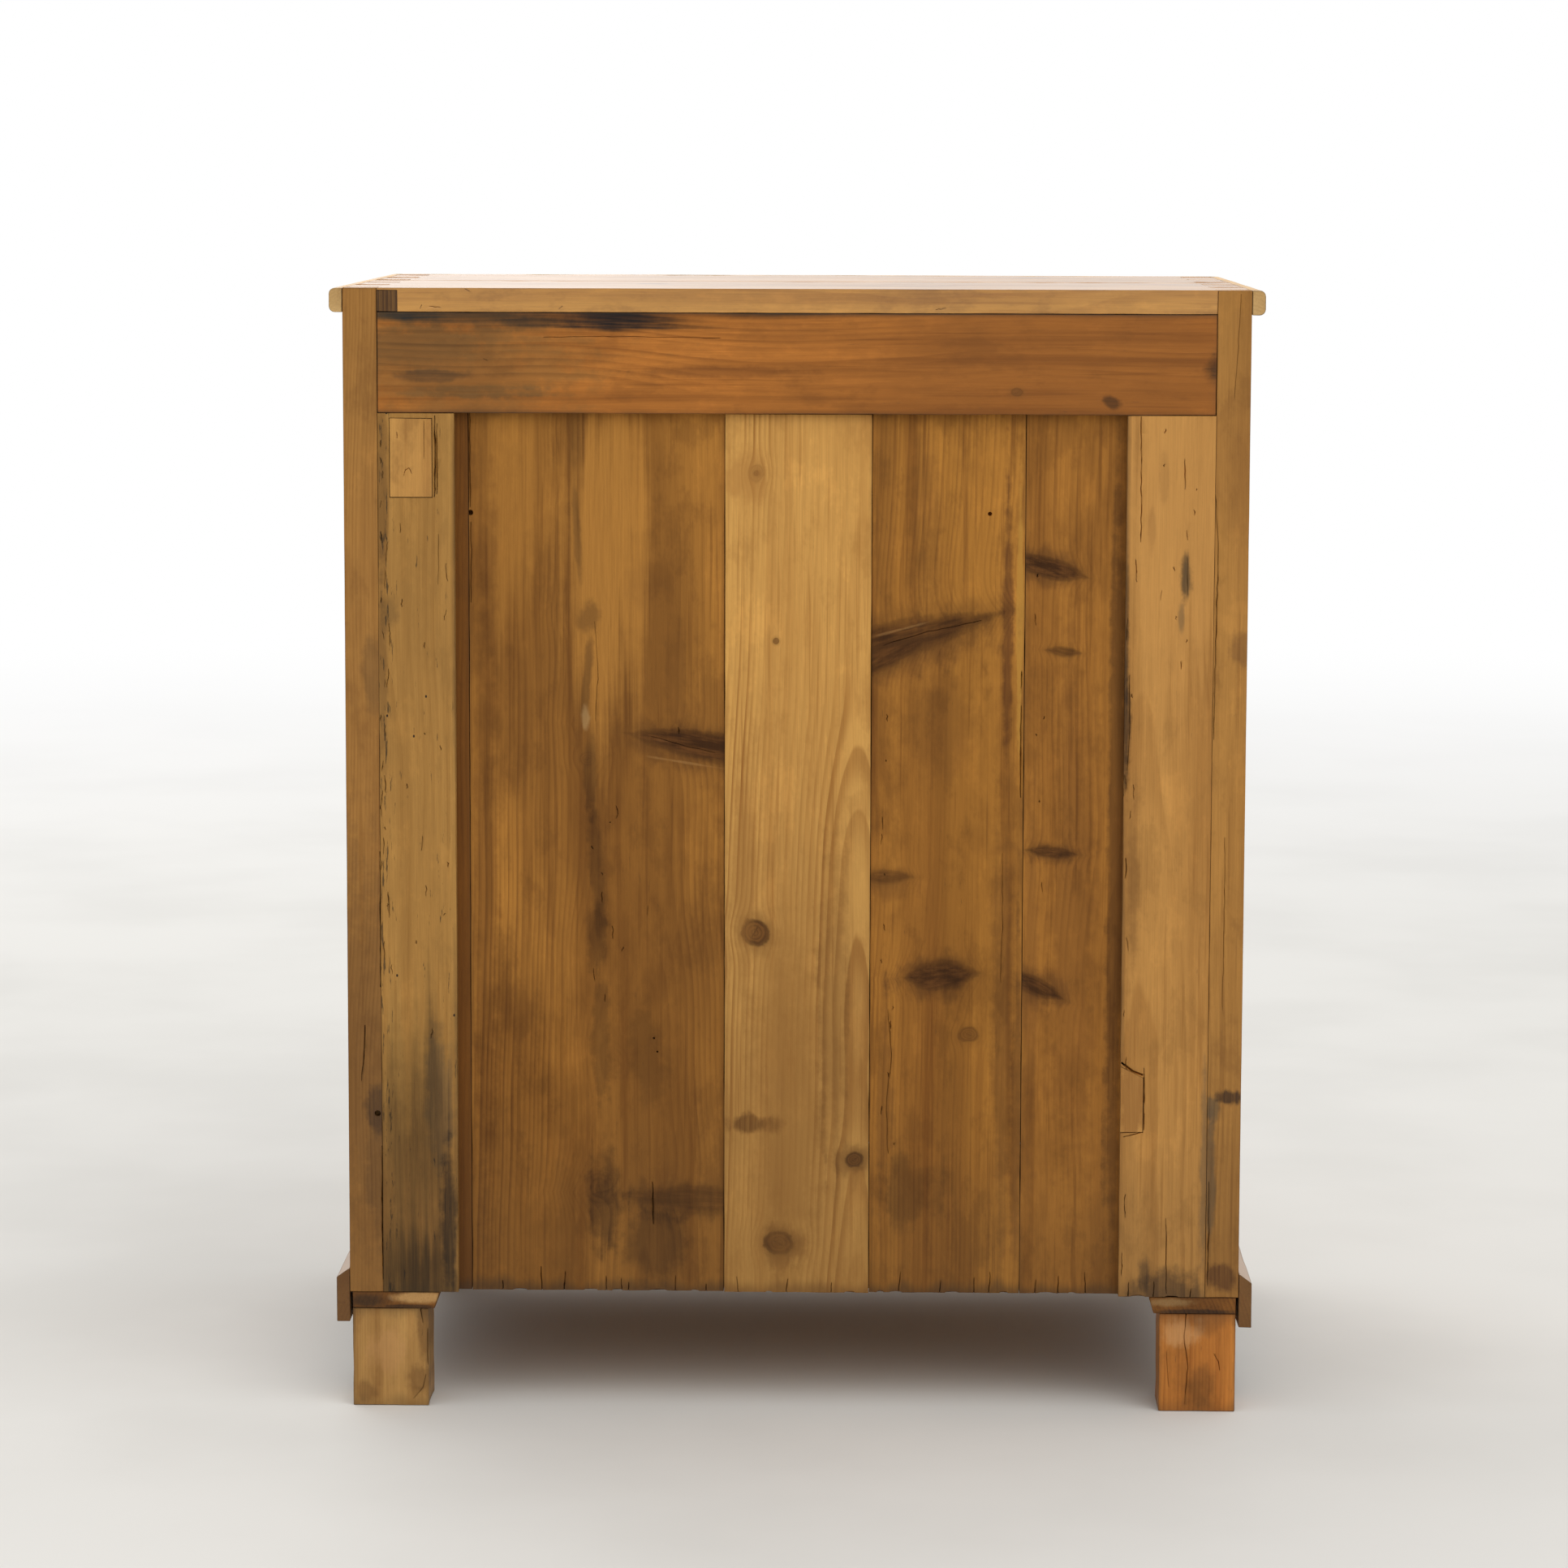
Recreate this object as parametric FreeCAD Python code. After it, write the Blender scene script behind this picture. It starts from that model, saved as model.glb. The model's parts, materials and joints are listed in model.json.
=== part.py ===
"""An old pine sideboard: one wide drawer over two panelled doors, on four block feet.

Lengths are millimetres. X runs along the front, Y from the front to the back, Z up from the floor.
Left and right are as seen from the front. The origin lies on the floor under the middle of the piece.
"""

import FreeCAD, Part
import math
import os

Vector = FreeCAD.Vector

# Case
case_width = 718.0
case_height = 905.0
case_depth = 468.0
side_thickness = 27.0
top_thickness = 19.0
top_rear_board = 242.0
bottom_thickness = 19.0

# Dovetails that join the top and the bottom to the sides
tail_count = 5
tail_pin = 20.0
tail_end_pin = 24.0
tail_flare = 4.0

# Feet and the battens that carry the case on them
foot_width = 62.0
foot_depth = 46.0
foot_height = 81.0
foot_inset = 1.5
foot_setback = 3.0
bearer_width = 71.0
bearer_thickness = 14.0
bearer_bevel = 4.0
bearer_setback = 1.0

# Mouldings
top_moulding_height = 20.0
top_moulding_reach = 11.0
top_moulding_round = 5.0
base_moulding_height = 44.0
base_moulding_reach = 11.0
base_moulding_slope = 7.0
base_moulding_ledge = 1.5

# Framed back
back_frame_thickness = 22.0
back_rail_height = 80.0
back_stile_left_width = 70.0
back_stile_right_width = 61.0
back_board_thickness = 13.0
back_board_lap = 10.0
back_tongue_thickness = 8.0
back_tongue_depth = 7.0
back_tenon_height = 25.0
back_tenon_shoulder = 14.0
edge_strip_width = 10.5
wide_board_width = 204.0
centre_board_width = 117.0
centre_board_proud = 2.5
knotty_board_width = 122.0
narrow_board_width = 79.5

# Old repairs at the back
end_block_width = 16.5
end_block_height = 17.0
end_block_depth = 12.0
stile_patch_width = 34.0
stile_patch_height = 63.0
stile_patch_inset = 9.5
stile_patch_drop = 4.0
edge_patch_width = 18.5
edge_patch_height = 54.0
edge_patch_slope = 9.5
edge_patch_lift = 135.0
patch_depth = 6.0

# Front frame
frame_thickness = 22.0
front_stile_width = 58.0
front_top_rail_height = 22.0
drawer_rail_height = 22.0
drawer_rail_depth = 60.0
bottom_rail_height = 30.0
frame_tenon_length = 34.0
frame_tenon_thickness = 8.0
frame_tenon_shoulder = 4.0

# Drawer
drawer_opening_height = 142.0
drawer_side_gap = 2.0
drawer_top_gap = 2.5
drawer_seat_gap = 0.3
drawer_rear_gap = 16.0
drawer_front_thickness = 22.0
drawer_side_thickness = 12.0
drawer_side_drop = 5.0
drawer_back_thickness = 12.0
drawer_back_drop = 6.0
drawer_bottom_thickness = 8.0
drawer_bottom_lift = 10.0
drawer_groove_depth = 6.0
drawer_front_lap = 7.0
drawer_tail_count = 3
drawer_tail_pin = 10.0
drawer_tail_end_pin = 9.0
drawer_tail_flare = 3.0
runner_lip = 25.0
guide_height = 30.0
stop_length = 46.0
stop_thickness = 9.0
stop_height = 6.0
stop_inset = 90.0
stop_gap = 0.3

# Shelf
shelf_thickness = 18.0
shelf_setback = 1.0
shelf_end_gap = 0.5
cleat_width = 18.0
cleat_height = 26.0
cleat_end_gap = 24.0

# Doors
door_thickness = 22.0
door_gap = 2.0
door_meeting_gap = 2.6
door_stile_width = 62.0
door_top_rail_height = 62.0
door_bottom_rail_height = 78.0
door_tenon_length = 42.0
door_tenon_thickness = 6.4
door_tenon_shoulder = 12.0
door_edge_chamfer = 3.5
door_chamfer_stop = 16.0
panel_tongue = 6.0
panel_groove = 6.4
panel_groove_setback = 4.0
panel_groove_depth = 9.0
panel_edge_gap = 1.0
panel_bevel_width = 30.0
panel_bevel_rise = 5.5
panel_field_step = 1.5

# Hinges
hinge_height = 60.0
hinge_end_distance = 90.0
hinge_leaf_depth = 18.0
hinge_leaf_thickness = 1.6
hinge_knuckle_radius = 3.4
hinge_pin_radius = 1.6
hinge_pin_play = 0.1
hinge_knuckle_count = 3
hinge_barrel_sides = 16
hinge_knuckle_gap = 0.25
hinge_face_gap = 0.6
hinge_pin_rise = 1.5
screw_count = 2
screw_sides = 8
screw_shank_radius = 1.6
screw_tip_radius = 0.6
screw_head_radius = 2.9
screw_length = 15.0
screw_play = 0.05

# Turned knobs of the drawer
knob_reach = 34.0
knob_head_radius = 17.5
knob_neck_radius = 8.0
knob_foot_radius = 11.5
knob_foot_height = 3.0
knob_neck_height = 9.0
knob_rim_height = 3.5
knob_crown = 6.0
knob_tenon_radius = 6.0
knob_glue_gap = 0.1
drawer_knob_spacing = 330.0

# Lock, key and escutcheon of the right door
lock_above_middle = 7.5
lock_backset = 26.0
lock_case_width = 42.0
lock_case_height = 58.0
lock_case_thickness = 11.0
lock_wall = 1.5
selvedge_thickness = 2.0
selvedge_height = 76.0
bolt_height = 12.0
bolt_thickness = 5.0
bolt_length = 32.0
bolt_play = 0.3
bolt_travel = 9.0
strike_play = 1.0
strike_end_gap = 3.0
key_shaft_radius = 2.6
key_hole_play = 0.6
key_bit_drop = 7.5
key_bit_gap = 1.1
key_bit_thickness = 2.2
key_bit_depth = 6.0
key_bow_radius = 11.0
key_bow_wall = 3.2
key_bow_thickness = 3.0
key_stem_reach = 9.0
escutcheon_width = 22.0
escutcheon_height = 40.0
escutcheon_thickness = 1.6

# Slide bolt inside the left door
slide_from_edge = 31.0
slide_plate_width = 24.0
slide_plate_height = 72.0
slide_plate_thickness = 1.6
slide_plate_top_gap = 3.0
slide_rod_radius = 3.6
slide_rod_play = 0.4
slide_rod_overhang = 1.5
slide_guide_wall = 2.4
slide_guide_height = 9.0
slide_guide_end = 3.0
slide_travel = 14.0
slide_grip_radius = 2.6
slide_grip_reach = 9.0
slide_seat_gap = 0.3
keeper_end_gap = 4.0
keeper_play = 0.7

# Planes that several pieces share
half_width = case_width / 2
inner_half = half_width - side_thickness
back_y = (case_depth + knob_reach) / 2
front_y = back_y - case_depth
frame_back_y = front_y + frame_thickness
back_frame_y = back_y - back_frame_thickness
top_z = case_height
under_top_z = top_z - top_thickness
base_z = foot_height + bearer_thickness
floor_z = base_z + bottom_thickness
opening_half = half_width - front_stile_width
drawer_opening_top = under_top_z - front_top_rail_height
drawer_opening_bottom = drawer_opening_top - drawer_opening_height
door_opening_top = drawer_opening_bottom - drawer_rail_height
door_opening_bottom = base_z + bottom_rail_height
back_rail_bottom = under_top_z - back_rail_height
tongue_back_y = back_y - (back_frame_thickness - back_tongue_thickness) / 2
tongue_front_y = tongue_back_y - back_tongue_thickness

parts = {}


def block(x, y, z):
    """A rectangular block between pairs of limits, each pair in any order."""
    (x0, x1), (y0, y1), (z0, z1) = sorted(x), sorted(y), sorted(z)
    return Part.makeBox(x1 - x0, y1 - y0, z1 - z0, Vector(x0, y0, z0))


def extruded(points, travel):
    """The straight prism on a flat polygon."""
    return Part.Face(Part.makePolygon(points + [points[0]])).extrude(travel)


def plan_prism(points, z):
    """A polygon of (x, y) points, extruded from the lower to the upper z."""
    return extruded([Vector(x, y, z[0]) for x, y in points], Vector(0, 0, z[1] - z[0]))


def front_prism(points, y):
    """A polygon of (x, z) points, extruded from the first to the second y."""
    return extruded([Vector(px, y[0], pz) for px, pz in points], Vector(0, y[1] - y[0], 0))


def side_prism(points, x):
    """A polygon of (y, z) points, extruded from the first to the second x."""
    return extruded([Vector(x[0], py, pz) for py, pz in points], Vector(x[1] - x[0], 0, 0))


def joined(shapes):
    """Several touching solids as one, without seams on flat faces."""
    return shapes[0].multiFuse(shapes[1:]).removeSplitter()


def cut(shape, tools):
    """A solid with every tool taken out of it."""
    return shape.cut(Part.makeCompound(tools)).removeSplitter() if tools else shape


def tail_spans(limits, count, pin, end_pin):
    """The limits of each dovetail at its narrow root, along a joint."""
    tail = (limits[1] - limits[0] - 2 * end_pin - (count - 1) * pin) / count
    starts = [limits[0] + end_pin + k * (tail + pin) for k in range(count)]
    return [(start, start + tail) for start in starts]


def case_tails(sign, y, z):
    """The dovetails of the top or the bottom that pass through one side of the case."""
    spans = tail_spans(y, tail_count, tail_pin, tail_end_pin)
    root, tip = sign * inner_half, sign * half_width
    outlines = [[(root, a), (tip, a - tail_flare), (tip, b + tail_flare), (root, b)] for a, b in spans]
    return [plan_prism(outline, z) for outline in outlines]


def both(build):
    """What a function makes for the left side and for the right side, as one list."""
    return [piece for sign in (-1, 1) for piece in build(sign)]


def grown(pair, amount):
    """A pair of limits, each moved outwards by the same amount."""
    low, high = sorted(pair)
    return (low - amount, high + amount)


def around(middle, half):
    """The limits of a length with its middle at one place."""
    return (middle - half, middle + half)


# Case: two sides with pins, and a top and a bottom with tails

top_joint_y = (frame_back_y, back_y)
bottom_joint_y = (frame_back_y, back_frame_y)
top_layer = (under_top_z, top_z)
bottom_layer = (base_z, floor_z)


def side_board(sign):
    board = block((sign * inner_half, sign * half_width), (frame_back_y, back_y), (base_z, top_z))
    tails = case_tails(sign, top_joint_y, top_layer) + case_tails(sign, bottom_joint_y, bottom_layer)
    groove_x = (sign * inner_half, sign * (inner_half + back_tongue_depth))
    groove = block(groove_x, (tongue_front_y, tongue_back_y), (base_z, under_top_z))
    return cut(board, tails + [groove])


def whole_top():
    middle = block((-inner_half, inner_half), (front_y, back_y), top_layer)
    front_strip = block((-half_width, half_width), (front_y, frame_back_y), top_layer)
    tails = both(lambda sign: case_tails(sign, top_joint_y, top_layer))
    return joined([middle, front_strip] + tails)


def top_boards():
    seam_y = back_y - top_rear_board
    top = cut(whole_top(), [end_block()])
    rear = block((-case_width, case_width), (seam_y, back_y), top_layer)
    front = block((-case_width, case_width), (front_y, seam_y), top_layer)
    return [top.common(rear), top.common(front)]


def bottom_board():
    middle = block((-inner_half, inner_half), bottom_joint_y, bottom_layer)
    return joined([middle] + both(lambda sign: case_tails(sign, bottom_joint_y, bottom_layer)))


# Mouldings, mitred at the front corners

def side_run(sign, profile, reach):
    """One side's length of a moulding: (out, z) points, mitred at the front."""
    points = [(sign * (half_width + out), z) for out, z in profile]
    mitre = [(half_width, front_y), (half_width + reach, front_y - reach)]
    mitre += [(half_width + reach, back_y), (half_width, back_y)]
    heights = [z for out, z in profile]
    keep = plan_prism([(sign * x, y) for x, y in mitre], (min(heights), max(heights)))
    return front_prism(points, (front_y - reach, back_y)).common(keep)


def front_run(profile, reach):
    """The front length of a moulding, mitred at both ends."""
    points = [(front_y - out, z) for out, z in profile]
    outer = half_width + reach
    corner = front_y - reach
    mitre = [(-half_width, front_y), (-outer, corner), (outer, corner), (half_width, front_y)]
    heights = [z for out, z in profile]
    keep = plan_prism(mitre, (min(heights), max(heights)))
    return side_prism(points, (-outer, outer)).common(keep)


def rounded_profile(reach, z, radius, steps=4):
    """A moulding's outline with its two outer corners rounded."""
    low, high = z
    upper = []
    lower = []
    for k in range(steps + 1):
        turn = math.pi / 2 * k / steps
        shift, drop = radius * (1 - math.sin(turn)), radius * (1 - math.cos(turn))
        lower.append((reach - shift, low + drop))
        upper.append((reach - shift, high - drop))
    return [(0, low)] + lower + upper[::-1] + [(0, high)]


def base_profile():
    low = floor_z - base_moulding_height
    shoulder = floor_z - base_moulding_slope
    reach = base_moulding_reach
    return [(0, low), (reach, low), (reach, shoulder), (base_moulding_ledge, floor_z), (0, floor_z)]


# Feet and bearers

bearer_outer = half_width - foot_inset
rear_foot_y = (back_y - foot_setback - foot_depth, back_y - foot_setback)
front_foot_y = (front_y, front_y + foot_depth)


def foot(sign, y):
    return block((sign * bearer_outer, sign * (bearer_outer - foot_width)), y, (0, foot_height))


def bearer(sign):
    inner = bearer_outer - bearer_width
    outline = [(bearer_outer, foot_height), (inner + bearer_bevel, foot_height)]
    outline += [(inner, base_z), (bearer_outer, base_z)]
    return front_prism([(sign * x, z) for x, z in outline], (front_y, back_y - bearer_setback))


# Back: a rail and two stiles with boards in their rebates

back_stile_widths = {-1: back_stile_left_width, 1: back_stile_right_width}
back_frame_depth = (back_frame_y, back_y)
back_tongue_y = (tongue_front_y, tongue_back_y)
back_board_y = (back_frame_y, back_frame_y + back_board_thickness)
back_board_top = back_rail_bottom + back_board_lap
back_left_edge = -(inner_half - back_stile_left_width)
back_right_edge = inner_half - back_stile_right_width


def back_rebate():
    """The room that the boards take up behind the rail and the stiles."""
    x = grown((back_left_edge, back_right_edge), back_board_lap)
    return block(x, back_board_y, (base_z, back_board_top))


def back_stile(sign):
    edge = sign * (inner_half - back_stile_widths[sign])
    post = block((sign * inner_half, edge), back_frame_depth, (base_z, back_rail_bottom))
    tongue_x = (sign * inner_half, sign * (inner_half + back_tongue_depth))
    tongue = block(tongue_x, back_tongue_y, (base_z, back_rail_bottom))
    tenon_x = (sign * (inner_half - back_tenon_shoulder), edge + sign * back_tenon_shoulder)
    tenon = block(tenon_x, back_tongue_y, (back_rail_bottom, back_rail_bottom + back_tenon_height))
    return cut(joined([post, tongue, tenon]), [back_rebate(), stile_patch(), edge_patch()])


def back_rail():
    rail = block((-inner_half, inner_half), back_frame_depth, (back_rail_bottom, under_top_z))
    reach = inner_half + back_tongue_depth
    tongues = block((-reach, reach), back_tongue_y, (back_rail_bottom, under_top_z))
    return cut(joined([rail, tongues]), [back_rebate(), back_stile(-1), back_stile(1)])


def back_boards():
    """The boards from right to left. Their widths share out the opening between the stiles."""
    nominal = [edge_strip_width, wide_board_width, centre_board_width]
    nominal += [knotty_board_width, narrow_board_width]
    share = (back_right_edge - back_left_edge) / sum(nominal)
    edges = [back_right_edge - share * sum(nominal[:k]) for k in range(len(nominal) + 1)]
    centre_edges = (edges[2], edges[3])
    edges[0] += back_board_lap
    edges[-1] -= back_board_lap
    boards = [block(pair, back_board_y, (base_z, back_board_top)) for pair in zip(edges[:-1], edges[1:])]
    proud_y = (back_board_y[1], back_board_y[1] + centre_board_proud)
    boards[2] = joined([boards[2], block(centre_edges, proud_y, (base_z, back_rail_bottom))])
    return boards


# Old repairs: new wood let into the back of the top and of both stiles

def end_block():
    x = (inner_half, inner_half - end_block_width)
    return block(x, (back_y, back_y - end_block_depth), (under_top_z, under_top_z + end_block_height))


def stile_patch():
    outer = inner_half - stile_patch_inset
    high = back_rail_bottom - stile_patch_drop
    z = (high - stile_patch_height, high)
    return block((outer, outer - stile_patch_width), (back_y, back_y - patch_depth), z)


def edge_patch():
    """A patch in the edge of the left stile, with a sloping end."""
    low = base_z + edge_patch_lift
    high = low + edge_patch_height
    outer = back_left_edge - edge_patch_width
    outline = [(back_left_edge, low), (back_left_edge, high)]
    outline += [(outer, high - edge_patch_slope), (outer, low)]
    return front_prism(outline, (back_y, back_y - patch_depth))


# Front frame

frame_depth = (front_y, frame_back_y)


def front_rail(z):
    """A rail of the front frame with a tenon at each end."""
    rail = block((-opening_half, opening_half), frame_depth, z)
    tenon_y = around(sum(frame_depth) / 2, frame_tenon_thickness / 2)
    tenon_z = (z[0] + frame_tenon_shoulder, z[1] - frame_tenon_shoulder)
    tenon = block(around(0, opening_half + frame_tenon_length), tenon_y, tenon_z)
    return joined([rail, tenon])


def drawer_rail():
    """The rail under the drawer, deeper than the frame, where its ends meet the sides."""
    layer = (door_opening_top, drawer_opening_bottom)
    rear = block((-inner_half, inner_half), (frame_back_y, front_y + drawer_rail_depth), layer)
    return cut(joined([front_rail(layer), rear]), [keeper_hole()])


def front_stile(sign):
    stile = block((sign * half_width, sign * opening_half), frame_depth, (base_z, under_top_z))
    rails = [parts["front_top_rail"], parts["drawer_rail"], parts["front_bottom_rail"]]
    return cut(stile, rails + hinge_cuts(sign, opening_half, -1))


# Drawer, and the battens that it runs in

drawer_half = opening_half - drawer_side_gap
drawer_low = drawer_opening_bottom + drawer_seat_gap
drawer_high = drawer_opening_top - drawer_top_gap
drawer_side_top = drawer_high - drawer_side_drop
drawer_back_top = drawer_side_top - drawer_back_drop
drawer_back_y = back_frame_y - drawer_rear_gap
drawer_front_back_y = front_y + drawer_front_thickness
drawer_inner_half = drawer_half - drawer_side_thickness
drawer_bottom_low = drawer_low + drawer_bottom_lift
drawer_bottom_z = (drawer_bottom_low, drawer_bottom_low + drawer_bottom_thickness)


def drawer_bottom():
    half = drawer_inner_half + drawer_groove_depth
    return block((-half, half), (drawer_front_back_y - drawer_groove_depth, drawer_back_y), drawer_bottom_z)


def drawer_tails(sign, y_root, y_tip, z):
    """The tails at one end of a drawer side, as blocks across its thickness."""
    spans = tail_spans(z, drawer_tail_count, drawer_tail_pin, drawer_tail_end_pin)
    x = (sign * drawer_inner_half, sign * drawer_half)
    flare = drawer_tail_flare
    outlines = [[(y_root, a), (y_tip, a - flare), (y_tip, b + flare), (y_root, b)] for a, b in spans]
    return [side_prism(outline, x) for outline in outlines]


def drawer_side(sign):
    """A side with tails at both ends, and a groove for the bottom."""
    x = (sign * drawer_inner_half, sign * drawer_half)
    height = (drawer_low, drawer_side_top)
    back_height = (drawer_bottom_z[1], drawer_back_top)
    rear_root = drawer_back_y - drawer_back_thickness
    body = block(x, (drawer_front_back_y, rear_root), height)
    rear_foot = block(x, (rear_root, drawer_back_y), (drawer_low, drawer_bottom_z[1]))
    front_tails = drawer_tails(sign, drawer_front_back_y, front_y + drawer_front_lap, height)
    rear_tails = drawer_tails(sign, rear_root, drawer_back_y, back_height)
    return cut(joined([body, rear_foot] + front_tails + rear_tails), [drawer_bottom()])


def drawer_ends():
    return [parts["drawer_side_left"], parts["drawer_side_right"]]


def drawer_front():
    board = block((-drawer_half, drawer_half), (front_y, drawer_front_back_y), (drawer_low, drawer_high))
    return cut(board, drawer_ends() + [drawer_bottom()] + drawer_knob_holes())


def drawer_back():
    y = (drawer_back_y - drawer_back_thickness, drawer_back_y)
    board = block((-drawer_half, drawer_half), y, (drawer_bottom_z[1], drawer_back_top))
    return cut(board, drawer_ends())


def runner(sign):
    x = (sign * inner_half, sign * (opening_half - runner_lip))
    return block(x, (front_y + drawer_rail_depth, back_frame_y), (door_opening_top, drawer_opening_bottom))


def guide(sign):
    z = (drawer_opening_bottom, drawer_opening_bottom + guide_height)
    return block((sign * inner_half, sign * opening_half), (frame_back_y, back_frame_y), z)


def kicker(sign):
    x = (sign * inner_half, sign * (opening_half - runner_lip))
    return block(x, (frame_back_y, back_frame_y), (drawer_opening_top, under_top_z))


def drawer_stop(sign):
    """A block on the rail that the back of the drawer front comes up against."""
    outer = opening_half - stop_inset
    x = (sign * outer, sign * (outer - stop_length))
    near = drawer_front_back_y + stop_gap
    z = (drawer_opening_bottom, drawer_opening_bottom + stop_height)
    return block(x, (near, near + stop_thickness), z)


# Turned knobs

def profile_edges(points):
    """Straight edges through (radius, reach) points, in order."""
    places = [Vector(radius, reach, 0) for radius, reach in points]
    return [Part.LineSegment(a, b).toShape() for a, b in zip(places[:-1], places[1:])]


def dome_points(rim_radius, rim_reach, height, steps=3):
    """Points from the rim of a shallow dome to its top, evenly spaced along the arc."""
    radius = (rim_radius ** 2 + height ** 2) / (2 * height)
    half_angle = math.asin(rim_radius / radius)
    angles = [half_angle * (steps - k) / steps for k in range(1, steps + 1)]
    centre = rim_reach + height - radius
    return [(radius * math.sin(angle), centre + radius * math.cos(angle)) for angle in angles]


def turned_knob(x, z):
    """A mushroom knob with a round tenon that fills the hole behind it."""
    rim_y = knob_reach - knob_crown
    under_y = rim_y - knob_rim_height
    root = (0, -drawer_front_thickness)
    outline = [root, (knob_tenon_radius, -drawer_front_thickness), (knob_tenon_radius, 0)]
    outline += [(knob_foot_radius, 0), (knob_foot_radius, knob_foot_height)]
    outline += [(knob_neck_radius, knob_neck_height)]
    outline += [((knob_neck_radius + knob_head_radius) / 2, under_y - (under_y - knob_neck_height) / 4)]
    outline += [(knob_head_radius, under_y), (knob_head_radius, rim_y)]
    outline += dome_points(knob_head_radius, rim_y, knob_crown) + [root]
    knob = Part.Face(Part.Wire(profile_edges(outline))).revolve(Vector(0, 0, 0), Vector(0, 1, 0), 360)
    knob.rotate(Vector(0, 0, 0), Vector(0, 0, 1), 180)
    knob.translate(Vector(x, front_y, z))
    return knob


def knob_hole(x, z):
    radius = knob_tenon_radius + knob_glue_gap
    return Part.makeCylinder(radius, drawer_front_thickness, Vector(x, front_y, z), Vector(0, 1, 0))


drawer_knob_z = (drawer_low + drawer_high) / 2


drawer_knob_places = (-drawer_knob_spacing / 2, drawer_knob_spacing / 2)


def drawer_knobs():
    return [turned_knob(x, drawer_knob_z) for x in drawer_knob_places]


def drawer_knob_holes():
    return [knob_hole(x, drawer_knob_z) for x in drawer_knob_places]


# Doors

door_outer = opening_half - door_gap
door_inner = door_meeting_gap / 2
door_low = door_opening_bottom + door_gap
door_high = door_opening_top - door_gap
door_depth = (front_y, front_y + door_thickness)
door_back_y = front_y + door_thickness
groove_back_y = door_back_y - panel_groove_setback
panel_back_y = groove_back_y - (panel_groove - panel_tongue) / 2
panel_front_y = panel_back_y - panel_tongue
panel_inner = door_inner + door_stile_width
panel_outer = door_outer - door_stile_width
panel_low = door_low + door_bottom_rail_height
panel_high = door_high - door_top_rail_height
groove_y = (groove_back_y - panel_groove, groove_back_y)
tenon_y = (groove_back_y - door_tenon_thickness, groove_back_y)


def panel_groove_block(sign):
    x = grown((sign * panel_inner, sign * panel_outer), panel_groove_depth)
    return block(x, groove_y, grown((panel_low, panel_high), panel_groove_depth))


def rectangle(x, y, z):
    """A closed upright rectangle at one depth."""
    corners = [(x[0], z[0]), (x[1], z[0]), (x[1], z[1]), (x[0], z[1]), (x[0], z[0])]
    return Part.makePolygon([Vector(px, y, pz) for px, pz in corners])


def door_panel(sign):
    """A raised and fielded panel: thin tongues, a sloping border, a small step and a flat field."""
    opening_x = (sign * panel_inner, sign * panel_outer)
    edge = panel_groove_depth - panel_edge_gap
    tongue_z = grown((panel_low, panel_high), edge)
    tongue = block(grown(opening_x, edge), (panel_front_y, panel_back_y), tongue_z)
    field_x = grown(opening_x, -panel_bevel_width)
    field_z = grown((panel_low, panel_high), -panel_bevel_width)
    slope_y = panel_front_y - panel_bevel_rise
    outer = rectangle(grown(opening_x, 0), panel_front_y, (panel_low, panel_high))
    inner = rectangle(field_x, slope_y, field_z)
    border = Part.makeLoft([outer, inner], True, True)
    field = block(field_x, (panel_front_y, slope_y - panel_field_step), field_z)
    return joined([tongue, border, field])


def edge_chamfer(start, end, inward):
    """A wedge that takes the corner off an edge and runs out to nothing at both ends."""
    along = (end - start).normalize()
    run = along * door_chamfer_stop
    back = Vector(0, door_edge_chamfer, 0)
    side = inward * door_edge_chamfer
    a, b, near, far = start, end, start + run, end - run
    faces = [
        [a, near + side, near + back],
        [b, far + back, far + side],
        [a, near + back, far + back, b],
        [a, b, far + side, near + side],
        [near + side, far + side, far + back, near + back],
    ]
    shell = Part.Shell([Part.Face(Part.makePolygon(face + [face[0]])) for face in faces])
    wedge = Part.Solid(shell)
    if wedge.Volume < 0:
        wedge.reverse()
    return wedge


def stile_chamfer(sign, edge, inward):
    low, high = [Vector(sign * edge, front_y, z) for z in (panel_low, panel_high)]
    return edge_chamfer(low, high, Vector(sign * inward, 0, 0))


def rail_chamfer(sign, z, inward):
    near, far = [Vector(sign * x, front_y, z) for x in (panel_inner, panel_outer)]
    return edge_chamfer(near, far, Vector(0, 0, inward))


def door_rails(sign):
    """The bottom and the top rail, each with two blind tenons."""
    made = []
    x = (sign * panel_inner, sign * panel_outer)
    rails = (((door_low, panel_low), panel_low, -1), ((panel_high, door_high), panel_high, 1))
    for z, edge, inward in rails:
        rail = block(x, door_depth, z)
        tenon = block(grown(x, door_tenon_length), tenon_y, grown(z, -door_tenon_shoulder))
        tenoned = joined([rail, tenon])
        made.append(cut(tenoned, [panel_groove_block(sign), rail_chamfer(sign, edge, inward)]))
    return made


def door_stile(sign, edge, width):
    """One upright of a door, from its outer edge inwards."""
    inner = edge + width
    inward = -1 if width > 0 else 1
    post = block((sign * edge, sign * inner), door_depth, (door_low, door_high))
    return cut(post, door_rails(sign) + [panel_groove_block(sign), stile_chamfer(sign, inner, inward)])


def hinge_stile(sign):
    return cut(door_stile(sign, door_outer, -door_stile_width), hinge_cuts(sign, door_outer, 1))


def lock_stile(sign):
    """The stile at the middle: the right door's holds the lock, the left door's its strike."""
    stile = door_stile(sign, door_inner, door_stile_width)
    if sign > 0:
        return cut(stile, [lock_outline(), key_passage(front_y, door_back_y)])
    return cut(stile, [strike_mortise()])


lock_height = (door_low + door_high) / 2 + lock_above_middle

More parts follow.
